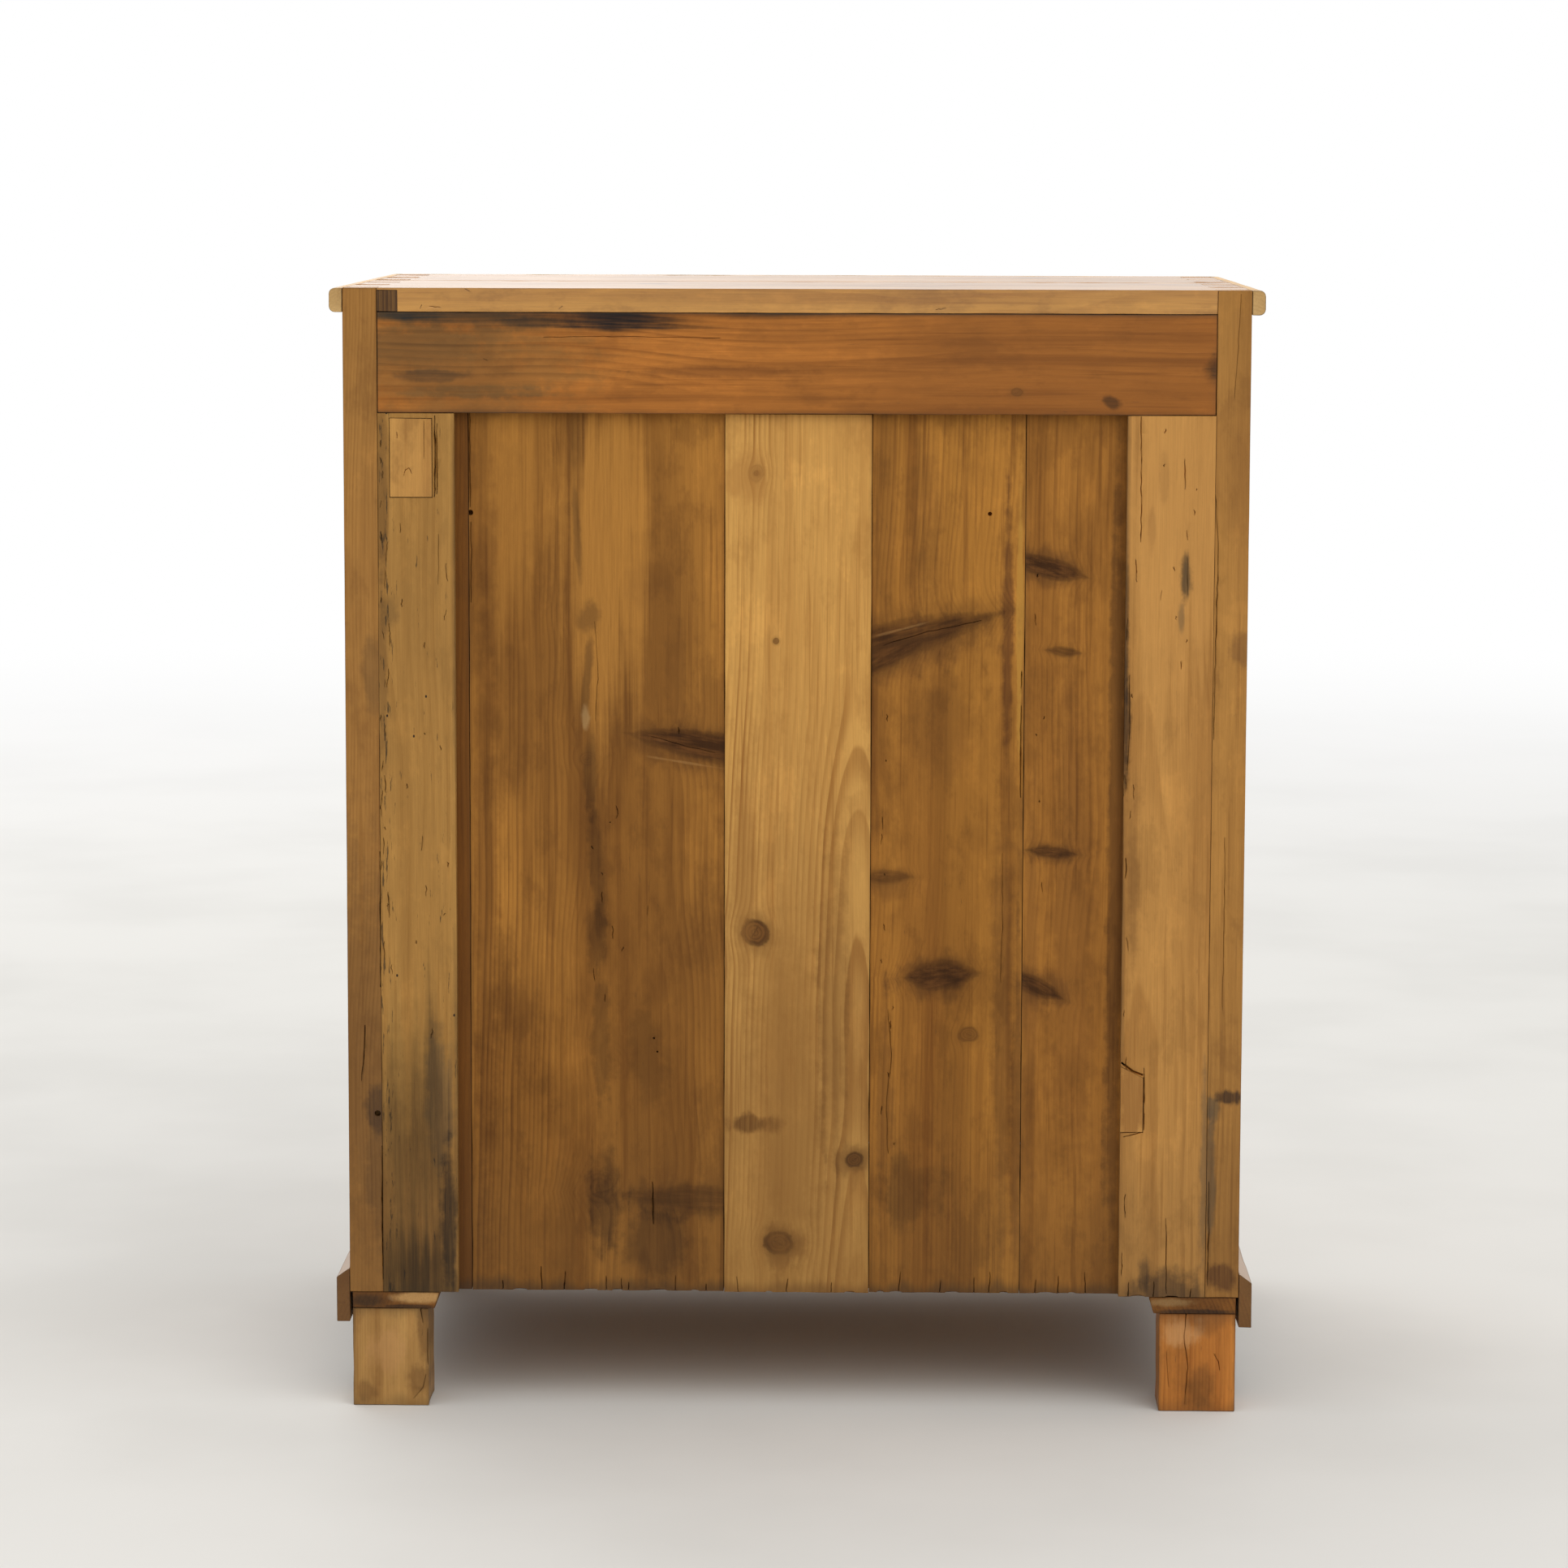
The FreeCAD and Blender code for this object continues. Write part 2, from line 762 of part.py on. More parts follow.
# Hinges: each has a leaf on the frame, a leaf on the door and a pin

hinge_centres = [door_low + hinge_end_distance, door_high - hinge_end_distance]
hinge_axis_x = opening_half - door_gap / 2
hinge_axis_y = front_y - hinge_knuckle_radius - hinge_face_gap
leaf_depth_y = (front_y, front_y + hinge_leaf_depth)


def leaf_x(sign, edge, into_door):
    """The thickness of a leaf, let into the door's edge or into the frame's."""
    return (sign * edge, sign * (edge - into_door * hinge_leaf_thickness))


def screw_places(centre):
    """The height of each screw of one leaf, spread evenly along it."""
    pitch = hinge_height / screw_count
    return [centre - hinge_height / 2 + pitch * (k + 0.5) for k in range(screw_count)]


screw_y = front_y + hinge_leaf_depth / 2


def screw_section(centre, radius):
    """A closed polygon across X, with as many corners as a screw has sides."""
    turns = [2 * math.pi * (k + 0.5) / screw_sides for k in range(screw_sides + 1)]
    return Part.makePolygon([centre + Vector(0, radius * math.cos(a), radius * math.sin(a)) for a in turns])


def screw(sign, edge, into_door, z, play):
    """A countersunk screw, or with play the hole that it fills."""
    into_wood = Vector(-sign * into_door, 0, 0)
    start = Vector(sign * edge, screw_y, z)
    under_head = start + into_wood * hinge_leaf_thickness
    tip = start + into_wood * (screw_length + play)
    radii = [radius + play for radius in (screw_head_radius, screw_shank_radius, screw_tip_radius)]
    sections = [screw_section(place, radius) for place, radius in zip((start, under_head, tip), radii)]
    return Part.makeLoft(sections, True, True)


def leaf_screws(sign, edge, into_door, play=0.0):
    heights = [z for centre in hinge_centres for z in screw_places(centre)]
    return [screw(sign, edge, into_door, z, play) for z in heights]


def hinge_cuts(sign, edge, into_door):
    """The recesses for both leaves of one edge, and the holes for their screws."""
    x = leaf_x(sign, edge, into_door)
    recesses = [block(x, leaf_depth_y, around(centre, hinge_height / 2)) for centre in hinge_centres]
    return recesses + leaf_screws(sign, edge, into_door, screw_play)


def upright_rod(sign, radius, z):
    foot_point = Vector(sign * hinge_axis_x, hinge_axis_y, z[0])
    return Part.makeCylinder(radius, z[1] - z[0], foot_point, Vector(0, 0, 1))


def upright_prism(sign, radius, z):
    """A many-sided bar on the hinge axis, its corners at the radius."""
    turns = [2 * math.pi * (k + 0.5) / hinge_barrel_sides for k in range(hinge_barrel_sides)]
    ring = [(radius * math.cos(a), radius * math.sin(a)) for a in turns]
    return plan_prism([(sign * hinge_axis_x + x, hinge_axis_y + y) for x, y in ring], z)


def knuckle_length(centre, k, gap):
    """The height of one knuckle, shorter by a gap at each end that meets another knuckle."""
    pitch = hinge_height / hinge_knuckle_count
    low = centre - hinge_height / 2 + k * pitch
    last = hinge_knuckle_count - 1
    return (low + gap * (k > 0), low + pitch - gap * (k < last))


def hinge_leaf(sign, edge, into_door, centre, first):
    """A leaf with every second knuckle of the barrel, bored for the pin."""
    height = around(centre, hinge_height / 2)
    plate = block(leaf_x(sign, edge, into_door), (hinge_axis_y, leaf_depth_y[1]), height)
    gap = hinge_knuckle_gap / 2
    clear = hinge_knuckle_radius + hinge_knuckle_gap
    own_places = range(first, hinge_knuckle_count, 2)
    other_places = range(1 - first, hinge_knuckle_count, 2)
    own = [upright_prism(sign, hinge_knuckle_radius, knuckle_length(centre, k, gap)) for k in own_places]
    room = [upright_rod(sign, clear, knuckle_length(centre, k, -gap)) for k in other_places]
    bore_radius = (hinge_pin_radius + hinge_pin_play) / math.cos(math.pi / hinge_barrel_sides)
    bore = upright_prism(sign, bore_radius, height)
    holes = leaf_screws(sign, edge, into_door, screw_play)
    return cut(joined([cut(plate, room)] + own), [bore] + holes)


def hinge_leaves(sign, edge, into_door, first):
    return [hinge_leaf(sign, edge, into_door, centre, first) for centre in hinge_centres]


def hinge_pin(sign, centre):
    """A plain pin whose ends stand a little proud of the barrel."""
    return upright_rod(sign, hinge_pin_radius, around(centre, hinge_height / 2 + hinge_pin_rise))


# Lock of the right door, let into the back of its stile

lock_x = (door_inner, door_inner + lock_case_width)
lock_y = (door_back_y - lock_case_thickness, door_back_y)
lock_z = around(lock_height, lock_case_height / 2)
key_x = door_inner + lock_backset
bolt_low = lock_height + key_bit_drop + key_bit_gap
bolt_z = (bolt_low, bolt_low + bolt_height)
bolt_middle_y = (lock_y[0] + lock_y[1]) / 2
bolt_y = around(bolt_middle_y, bolt_thickness / 2)
bolt_x = (door_inner + bolt_play, door_inner + bolt_play + bolt_length)


def lock_outline():
    box = block(lock_x, lock_y, lock_z)
    plate_x = (door_inner, door_inner + selvedge_thickness)
    plate = block(plate_x, lock_y, around(lock_height, selvedge_height / 2))
    return joined([box, plate])


def key_passage(y_from, y_to):
    """A keyhole: a round bore with a slot for the bit below it."""
    radius = key_shaft_radius + key_hole_play
    bore = Part.makeCylinder(radius, y_to - y_from, Vector(key_x, y_from, lock_height), Vector(0, 1, 0))
    slot_x = around(key_x, key_bit_thickness / 2 + key_hole_play)
    slot = block(slot_x, (y_from, y_to), (lock_height - key_bit_drop - key_hole_play, lock_height))
    return joined([bore, slot])


def lock_case():
    hollow_x = (lock_x[0] + selvedge_thickness, lock_x[1] - lock_wall)
    hollow = block(hollow_x, grown(lock_y, -lock_wall), grown(lock_z, -lock_wall))
    mouth = block((lock_x[0], hollow_x[0]), grown(bolt_y, bolt_play), grown(bolt_z, bolt_play))
    return cut(lock_outline(), [hollow, mouth, key_passage(lock_y[0], lock_y[0] + lock_wall)])


def lock_bolt():
    return block(bolt_x, bolt_y, bolt_z)


def strike_mortise():
    x = (-door_inner, -door_inner - bolt_travel - strike_end_gap)
    return block(x, grown(bolt_y, strike_play), grown(bolt_z, strike_play))


def ring_plate(centre, radius, wall, thickness):
    """A flat ring that stands upright, across X."""
    start = centre - Vector(thickness / 2, 0, 0)
    outer = Part.makeCylinder(radius, thickness, start, Vector(1, 0, 0))
    return outer.cut(Part.makeCylinder(radius - wall, thickness, start, Vector(1, 0, 0)))


def key():
    """A key with a ring bow, a round shaft and a bit that hangs down inside the lock."""
    tip_y = lock_y[1] - lock_wall - key_hole_play
    stem_y = front_y - key_stem_reach
    stem = Vector(key_x, stem_y, lock_height)
    shaft = Part.makeCylinder(key_shaft_radius, tip_y - stem_y, stem, Vector(0, 1, 0))
    bow_centre = stem - Vector(0, key_bow_radius - key_bow_wall / 2, 0)
    bow = ring_plate(bow_centre, key_bow_radius, key_bow_wall, key_bow_thickness)
    bit_y = (tip_y - key_bit_depth, tip_y)
    bit = block(around(key_x, key_bit_thickness / 2), bit_y, (lock_height - key_bit_drop, lock_height))
    return joined([shaft, bow, bit])


def escutcheon():
    """An upright plate with round ends and a keyhole, on the face of the door."""
    middle = lock_height - key_bit_drop / 4
    radius = escutcheon_width / 2
    y = (front_y - escutcheon_thickness, front_y)
    ends = around(middle, escutcheon_height / 2 - radius)
    plate = [block(around(key_x, radius), y, ends)]
    for z in ends:
        end = Vector(key_x, y[0], z)
        plate.append(Part.makeCylinder(radius, escutcheon_thickness, end, Vector(0, 1, 0)))
    return cut(joined(plate), [key_passage(*y)])


# Slide bolt on the inner face of the left door

slide_x = -(door_inner + slide_from_edge)
slide_plate_y = (door_back_y, door_back_y + slide_plate_thickness)
slide_rod_y = slide_plate_y[1] + slide_rod_play + slide_rod_radius
slide_plate_top = door_high - slide_plate_top_gap
slide_plate_low = slide_plate_top - slide_plate_height
lower_guide = (slide_plate_low + slide_guide_end, slide_plate_low + slide_guide_end + slide_guide_height)
upper_guide = (slide_plate_top - slide_guide_end - slide_guide_height, slide_plate_top - slide_guide_end)
slide_grip_z = lower_guide[1] + slide_seat_gap + slide_grip_radius
slide_rod_top = upper_guide[1] + slide_rod_overhang
slide_rod_low = lower_guide[0] - slide_travel
keeper_depth = slide_rod_top + slide_travel - door_opening_top + keeper_end_gap


def slide_bolt_plate():
    """A plate with two guides that the rod slides through."""
    plate = block(around(slide_x, slide_plate_width / 2), slide_plate_y, (slide_plate_low, slide_plate_top))
    bore = slide_rod_radius + slide_rod_play
    outer = bore + slide_guide_wall
    guide_x = around(slide_x, outer)
    guide_y = (slide_plate_y[1], slide_rod_y + outer)
    guides = [block(guide_x, guide_y, z) for z in (lower_guide, upper_guide)]
    start = Vector(slide_x, slide_rod_y, slide_plate_low)
    passage = Part.makeCylinder(bore, slide_plate_height, start, Vector(0, 0, 1))
    return cut(joined([plate] + guides), [passage])


def slide_bolt_rod():
    low = Vector(slide_x, slide_rod_y, slide_rod_low)
    rod = Part.makeCylinder(slide_rod_radius, slide_rod_top - slide_rod_low, low, Vector(0, 0, 1))
    grip_root = Vector(slide_x, slide_rod_y, slide_grip_z)
    reach = slide_rod_radius + slide_grip_reach
    grip = Part.makeCylinder(slide_grip_radius, reach, grip_root, Vector(0, 1, 0))
    return joined([rod, grip])


def keeper_hole():
    radius = slide_rod_radius + keeper_play
    mouth = Vector(slide_x, slide_rod_y, door_opening_top)
    return Part.makeCylinder(radius, keeper_depth, mouth, Vector(0, 0, 1))


# Shelf

shelf_underside = (floor_z + door_opening_top - shelf_thickness) / 2
shelf_front_y = max(frame_back_y, door_back_y) + shelf_setback


def shelf():
    half = inner_half - shelf_end_gap
    y = (shelf_front_y, back_frame_y)
    return block((-half, half), y, (shelf_underside, shelf_underside + shelf_thickness))


def shelf_cleat(sign):
    x = (sign * inner_half, sign * (inner_half - cleat_width))
    y = (shelf_front_y + cleat_end_gap, back_frame_y - cleat_end_gap)
    return block(x, y, (shelf_underside - cleat_height, shelf_underside))


def build_case():
    parts["side_left"] = side_board(-1)
    parts["side_right"] = side_board(1)
    parts["top_board_rear"], parts["top_board_front"] = top_boards()
    parts["bottom_board"] = bottom_board()


def build_mouldings():
    height = (top_z - top_moulding_height, top_z)
    round_edge = rounded_profile(top_moulding_reach, height, top_moulding_round)
    top_run = ("top_moulding", round_edge, top_moulding_reach)
    base_run = ("base_moulding", base_profile(), base_moulding_reach)
    for name, profile, reach in (top_run, base_run):
        parts[name + "_left"] = side_run(-1, profile, reach)
        parts[name + "_right"] = side_run(1, profile, reach)
        parts[name + "_front"] = front_run(profile, reach)


def build_feet():
    for name, sign in (("left", -1), ("right", 1)):
        parts["rear_foot_" + name] = foot(sign, rear_foot_y)
    parts["front_feet"] = [foot(-1, front_foot_y), foot(1, front_foot_y)]
    parts["foot_bearers"] = [bearer(-1), bearer(1)]


def build_back():
    parts["back_rail"] = back_rail()
    parts["back_stile_left"] = back_stile(-1)
    parts["back_stile_right"] = back_stile(1)
    names = ["back_board_" + place for place in ("edge_strip", "wide", "centre", "knotty", "narrow")]
    for name, board in zip(names, back_boards()):
        parts[name] = board
    parts["repair_patches"] = [end_block(), stile_patch(), edge_patch()]


def build_front_frame():
    parts["front_top_rail"] = front_rail((drawer_opening_top, under_top_z))
    parts["drawer_rail"] = drawer_rail()
    parts["front_bottom_rail"] = front_rail((base_z, door_opening_bottom))
    parts["front_stile_left"] = front_stile(-1)
    parts["front_stile_right"] = front_stile(1)


def build_drawer():
    parts["drawer_side_left"] = drawer_side(-1)
    parts["drawer_side_right"] = drawer_side(1)
    parts["drawer_front"] = drawer_front()
    parts["drawer_back"] = drawer_back()
    parts["drawer_bottom"] = drawer_bottom()
    parts["drawer_knobs"] = drawer_knobs()
    parts["drawer_runners"] = [runner(-1), runner(1)]
    parts["drawer_guides"] = [guide(-1), guide(1)]
    parts["drawer_kickers"] = [kicker(-1), kicker(1)]
    parts["drawer_stops"] = [drawer_stop(-1), drawer_stop(1)]


def build_shelf():
    parts["shelf"] = shelf()
    parts["shelf_cleats"] = [shelf_cleat(-1), shelf_cleat(1)]


def build_doors():
    for name, sign in (("left_door", -1), ("right_door", 1)):
        parts[name + "_stiles"] = [hinge_stile(sign), lock_stile(sign)]
        parts[name + "_rails"] = door_rails(sign)
        parts[name + "_panel"] = door_panel(sign)
        parts[name + "_hinge_leaves"] = hinge_leaves(sign, door_outer, 1, 1)
        parts[name + "_hinge_screws"] = leaf_screws(sign, door_outer, 1)


def build_hardware():
    parts["frame_hinge_leaves"] = both(lambda sign: hinge_leaves(sign, opening_half, -1, 0))
    parts["frame_hinge_screws"] = both(lambda sign: leaf_screws(sign, opening_half, -1))
    parts["hinge_pins"] = both(lambda sign: [hinge_pin(sign, centre) for centre in hinge_centres])
    parts["lock_case"] = lock_case()
    parts["lock_bolt"] = lock_bolt()
    parts["key"] = key()
    parts["escutcheon"] = escutcheon()
    parts["slide_bolt_plate"] = slide_bolt_plate()
    parts["slide_bolt_rod"] = slide_bolt_rod()


def write_parts():
    os.makedirs("parts", exist_ok=True)
    for name, shape in sorted(parts.items()):
        pieces = shape if isinstance(shape, list) else [shape]
        solids = [solid for piece in pieces for solid in piece.Solids]
        whole = solids[0] if len(solids) == 1 else Part.makeCompound(solids)
        whole.exportStep("parts/" + name + ".step")
        print(name, len(solids), "solid(s)", round(whole.Volume / 1000, 1), "cm3", whole.isValid())


build_case()
build_mouldings()
build_feet()
build_back()
build_front_frame()
build_drawer()
build_shelf()
build_doors()
build_hardware()
write_parts()
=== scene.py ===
"""The look of an old pine sideboard, photographed from behind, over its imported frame."""

import json
import math
import random

import bmesh
import bpy
from mathutils import Matrix, Vector, noise

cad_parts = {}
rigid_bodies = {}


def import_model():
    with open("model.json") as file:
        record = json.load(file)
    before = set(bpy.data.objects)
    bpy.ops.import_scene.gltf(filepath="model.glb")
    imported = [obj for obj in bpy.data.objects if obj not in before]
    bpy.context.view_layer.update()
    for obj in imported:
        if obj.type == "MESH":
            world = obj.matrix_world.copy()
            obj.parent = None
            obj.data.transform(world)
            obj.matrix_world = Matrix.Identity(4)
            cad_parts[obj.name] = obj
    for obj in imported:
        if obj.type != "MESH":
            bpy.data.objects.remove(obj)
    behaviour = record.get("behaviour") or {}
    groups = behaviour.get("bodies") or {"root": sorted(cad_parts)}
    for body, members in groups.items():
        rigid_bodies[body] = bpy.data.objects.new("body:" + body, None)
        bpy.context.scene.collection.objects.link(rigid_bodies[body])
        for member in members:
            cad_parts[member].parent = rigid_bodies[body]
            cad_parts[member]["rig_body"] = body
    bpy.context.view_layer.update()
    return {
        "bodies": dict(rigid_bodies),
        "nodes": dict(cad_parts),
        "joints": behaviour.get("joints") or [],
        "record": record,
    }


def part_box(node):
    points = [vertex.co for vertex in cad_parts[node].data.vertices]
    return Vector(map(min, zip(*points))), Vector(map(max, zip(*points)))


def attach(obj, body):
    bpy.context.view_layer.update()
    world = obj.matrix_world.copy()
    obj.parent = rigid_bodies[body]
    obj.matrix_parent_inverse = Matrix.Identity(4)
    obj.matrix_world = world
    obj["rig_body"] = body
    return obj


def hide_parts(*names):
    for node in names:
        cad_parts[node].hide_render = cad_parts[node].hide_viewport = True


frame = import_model()

# Camera: fitted to the corners of the case, the top and the feet in the photograph

CAMERA_PLACE = Vector((-0.0599, 3.951, 1.0013))
CAMERA_YAW = 0.0186
CAMERA_TILT = 0.1149
CAMERA_ROLL = 0.0027
CAMERA_FOCUS_PIXELS = 5762.4
CAMERA_SHIFT = -0.05
PHOTO_PIXELS = 1932
SENSOR = 36.0

# Light: level at which a colour renders about as it is written

SKY_LEVEL = 0.97
SKY_LOW_LEVEL = 0.10
SKY_RISE = (-0.05, 0.72)
BACK_LAMP = dict(place=(-1.9, 3.4, 3.5), size=4.4, power=83.0)
FRONT_LAMP = dict(place=(1.8, -3.5, 3.8), size=4.4, power=68.0)
LAMP_TARGET = Vector((0.0, 0.0, 0.5))
LAMP_COLOUR = (1.0, 0.985, 0.96)
WHITE = (1.0, 1.0, 1.0)
FLOOR_COLOUR = (0.74, 0.73, 0.70)
FLOOR_CLOUDS = (0.69, 0.68, 0.65)
FLOOR_SIZE = 30.0
FLOOR_FADE = (1.6, 6.0)

# Wood surfaces: eased edges, cells for the unevenness, and how deep it goes (metres, radians)

EASED = 0.0009
CELL = 0.02
DENT = 0.00035
EDGE_WEAR = 0.0006
SHARP = math.radians(28)
FLAT = math.radians(0.6)
SMOOTHED = math.radians(42)
MERGED = 1e-5
CUT_MERGED = 1e-6
ON_EDGE = 2e-5
DENT_TURNS = 11.0
NICK_TURNS = (41.0, 120.0)


# Node trees: numbers and colours that vary over a surface

class Field:
    """A number, a vector or a colour over a surface: one output in a node tree."""

    def __init__(self, tree, socket):
        self.tree = tree
        self.socket = socket


def operator(operation, swapped):
    def work(field, other):
        pair = (other, field) if swapped else (field, other)
        return worked(field.tree, operation, *pair)
    return work


for sign, operation in (("add", "ADD"), ("sub", "SUBTRACT"), ("mul", "MULTIPLY"), ("truediv", "DIVIDE")):
    setattr(Field, "__%s__" % sign, operator(operation, False))
    setattr(Field, "__r%s__" % sign, operator(operation, True))


def plug(tree, what, socket):
    """Feeds a socket from a field, or sets it to a plain number or colour."""
    if isinstance(what, Field):
        tree.links.new(what.socket, socket)
    elif isinstance(what, (tuple, list)) and len(what) < len(socket.default_value):
        socket.default_value = (*what, 1.0)
    else:
        socket.default_value = what


def added(tree, kind, inputs=(), **settings):
    """A new node with its settings and its inputs, which go by name or number."""
    node = tree.nodes.new("ShaderNode" + kind)
    for name, value in settings.items():
        setattr(node, name, value)
    for name, value in dict(inputs).items():
        plug(tree, value, node.inputs[name])
    return node


def worked(tree, operation, *values, clamp=False):
    node = added(tree, "Math", enumerate(values), operation=operation, use_clamp=clamp)
    return Field(tree, node.outputs[0])


def vector(tree, x, y, z):
    return Field(tree, added(tree, "CombineXYZ", enumerate((x, y, z))).outputs[0])


def rise(field, low, high):
    """0 below low and 1 above high, with a soft step between; it falls where low is above high."""
    node = added(
        field.tree, "MapRange", {"Value": field, "From Min": low, "From Max": high},
        interpolation_type="SMOOTHSTEP")
    return Field(field.tree, node.outputs["Result"])


def cloud(place, scale=1.0, detail=2.0, roughness=0.5, lean=0.0):
    """Smooth noise from about 0 to 1 at a vector field."""
    node = added(place.tree, "TexNoise", {
        "Vector": place, "Scale": scale, "Detail": detail, "Roughness": roughness, "Distortion": lean})
    return Field(place.tree, node.outputs["Fac"])


def blended(first, second, amount, mode="MIX"):
    """The first colour with some of the second laid over it."""
    tree = amount.tree if isinstance(amount, Field) else first.tree
    node = added(tree, "Mix", {0: amount, 6: first, 7: second}, data_type="RGBA", blend_type=mode)
    return Field(tree, node.outputs[2])


def attribute(tree, name):
    return Field(tree, added(tree, "Attribute", attribute_name=name).outputs["Fac"])


def split(place):
    parts = added(place.tree, "SeparateXYZ", {0: place})
    return [Field(place.tree, socket) for socket in parts.outputs]


def object_place(tree):
    """The x, y and z of a point on the object at rest."""
    coordinates = added(tree, "TexCoord")
    return dict(zip("xyz", split(Field(tree, coordinates.outputs["Object"]))))


def oval_place(place, along, across, reach_along, reach_across, turn):
    """A spot on a board's face, seen from an oval whose rim lies at 1."""
    mapping = added(place.tree, "Mapping", {
        "Vector": place, "Location": (along, across, 0.0), "Rotation": (0.0, 0.0, math.radians(turn)),
        "Scale": (reach_along, reach_across, 1.0)}, vector_type="TEXTURE")
    return Field(place.tree, mapping.outputs[0])


def length(place):
    node = added(place.tree, "VectorMath", {0: place}, operation="LENGTH")
    return Field(place.tree, node.outputs["Value"])


def grey(tone):
    return vector(tone.tree, tone, tone, tone)


class Knot:
    """A branch cut through: round where it meets the face squarely, long where it lies in it."""

    LONG = 2.2
    PULL = 0.92
    PULL_FADES = -0.36

    def __init__(self, spot, knot):
        self.across = knot[1]
        self.dark = knot[5]
        self.place = oval_place(spot, *knot[:5])
        self.check = knot[0] * 40.0 + knot[1] * 25.0
        self.long = knot[3] / knot[2] > self.LONG
        self.pull = self.PULL * min(1.0, 1.6 * knot[2] / knot[3])
        if self.long:
            u, v, _ = split(self.place)
            self.distance = worked(spot.tree, "ABSOLUTE", u) + v * v
        else:
            self.distance = length(self.place)

    def heart(self, ragged):
        """The knot's own wood: streaks along a long one, rings and a crack in a round one."""
        tree = self.place.tree
        u, v, _ = split(self.place)
        if self.long:
            grain = cloud(vector(tree, u * 2.3, v * 1.6, self.dark * 9.0), 1.0, 4.0, 0.65)
            return grain, rise(grain, 0.30, 0.62)
        year = worked(tree, "FRACT", self.distance * 3.3 + ragged * 0.9)
        line = u * math.cos(self.check) + v * math.sin(self.check) + ragged * 0.7
        split_open = rise(worked(tree, "ABSOLUTE", line), 0.11, 0.02) * rise(self.distance, 0.8, 0.3)
        return ragged + 0.5, worked(tree, "MAXIMUM", rise(year, 0.25, 0.9) * 0.6, split_open * 0.9)


def new_material(name):
    material = bpy.data.materials.new(name)
    material.use_nodes = True
    tree = material.node_tree
    shader = tree.nodes["Principled BSDF"]
    return material, tree, shader


def bumped(tree, height, strength, distance):
    node = added(tree, "Bump", {"Strength": strength, "Distance": distance, "Height": height})
    return Field(tree, node.outputs["Normal"])


# Pine

PINE = dict(
    early=(0.46, 0.215, 0.048), late=(0.25, 0.095, 0.016), pith=(0.0, -0.05), pitch=0.0034,
    wander=0.016, reach=2.6, taper=0.012, contrast=0.6, fibre=0.2, streaks=0.45, bands=0.45,
    ticks=0.35, blotch=(0.17, 0.068, 0.014), blotches=0.45, soil=(0.045, 0.03, 0.018), low_darkening=0.0,
    low_reach=(0.10, 0.34), seams=0.5, worms=0.0, rough=0.5, bump=0.35, wax=0.08, scatter=0.11,
    gloss=0.15, tick_level=0.66, haze=0.35, smear=0.3, hair=0.42, tick_home=None, crown_tone_and_painted_sheen=None, ends=0.3,
    wax_rough=0.38,
)
BACK_FACE = 0.251
TOP_WAX = 0.6
TOP_ROUGH = 0.36
KNOT_DARK = (0.062, 0.023, 0.005)
KNOT_BROWN = (0.18, 0.070, 0.015)
KNOT_HAZE = (0.16, 0.066, 0.014)
WORM_HOLE = (0.03, 0.016, 0.008)
TINT_BELOW = 0.3
END_STAIN = (BACK_FACE - 0.009, BACK_FACE - 0.002)
CROWN_RIM = (BACK_FACE - 0.0003, BACK_FACE - 0.0015)
BUMP_DEPTH = 0.0006
BOARDS_APART = 1.9
GROWTH_TURNS = 46.0
GROWTH = 0.009
WOBBLE = 0.0012
LATE_STARTS = (0.25, 0.84)
LATE_ENDS = (1.0, 0.9)
STAIN_RIM = (1.15, 0.45)
SEAM_SOIL = (0.0042, 0.0002)
END_SOIL = 0.012

# Noises of the wood: turns per metre along the grain and across it, detail, roughness, offset

NOISES = dict(
    wobble=(9, 70, 2, 0.55, 0), fibre=(24, 900, 3, 0.65, 0), streak=(1.7, 62, 3, 0.6, 0),
    band=(0.8, 23, 2, 0.5, 3), tick=(46, 380, 4, 0.66, 7), patch=(5, 11, 5, 0.66, 5),
    smear=(13, 24, 5, 0.7, 23), hair=(6, 250, 2, 0.55, 29), zone=(2.2, 13, 2, 0.5, 11),
    haze=(1.3, 5.5, 4, 0.6, 17), ragged=(70, 75, 4, 0.65, 2),
)


def metres(millimetres):
    return round(millimetres / 1000.0, 6)


def in_metres(row):
    """A knot's or a stain's row with its place and its reaches in metres."""
    return tuple(metres(number) for number in row[:4]) + tuple(row[4:])


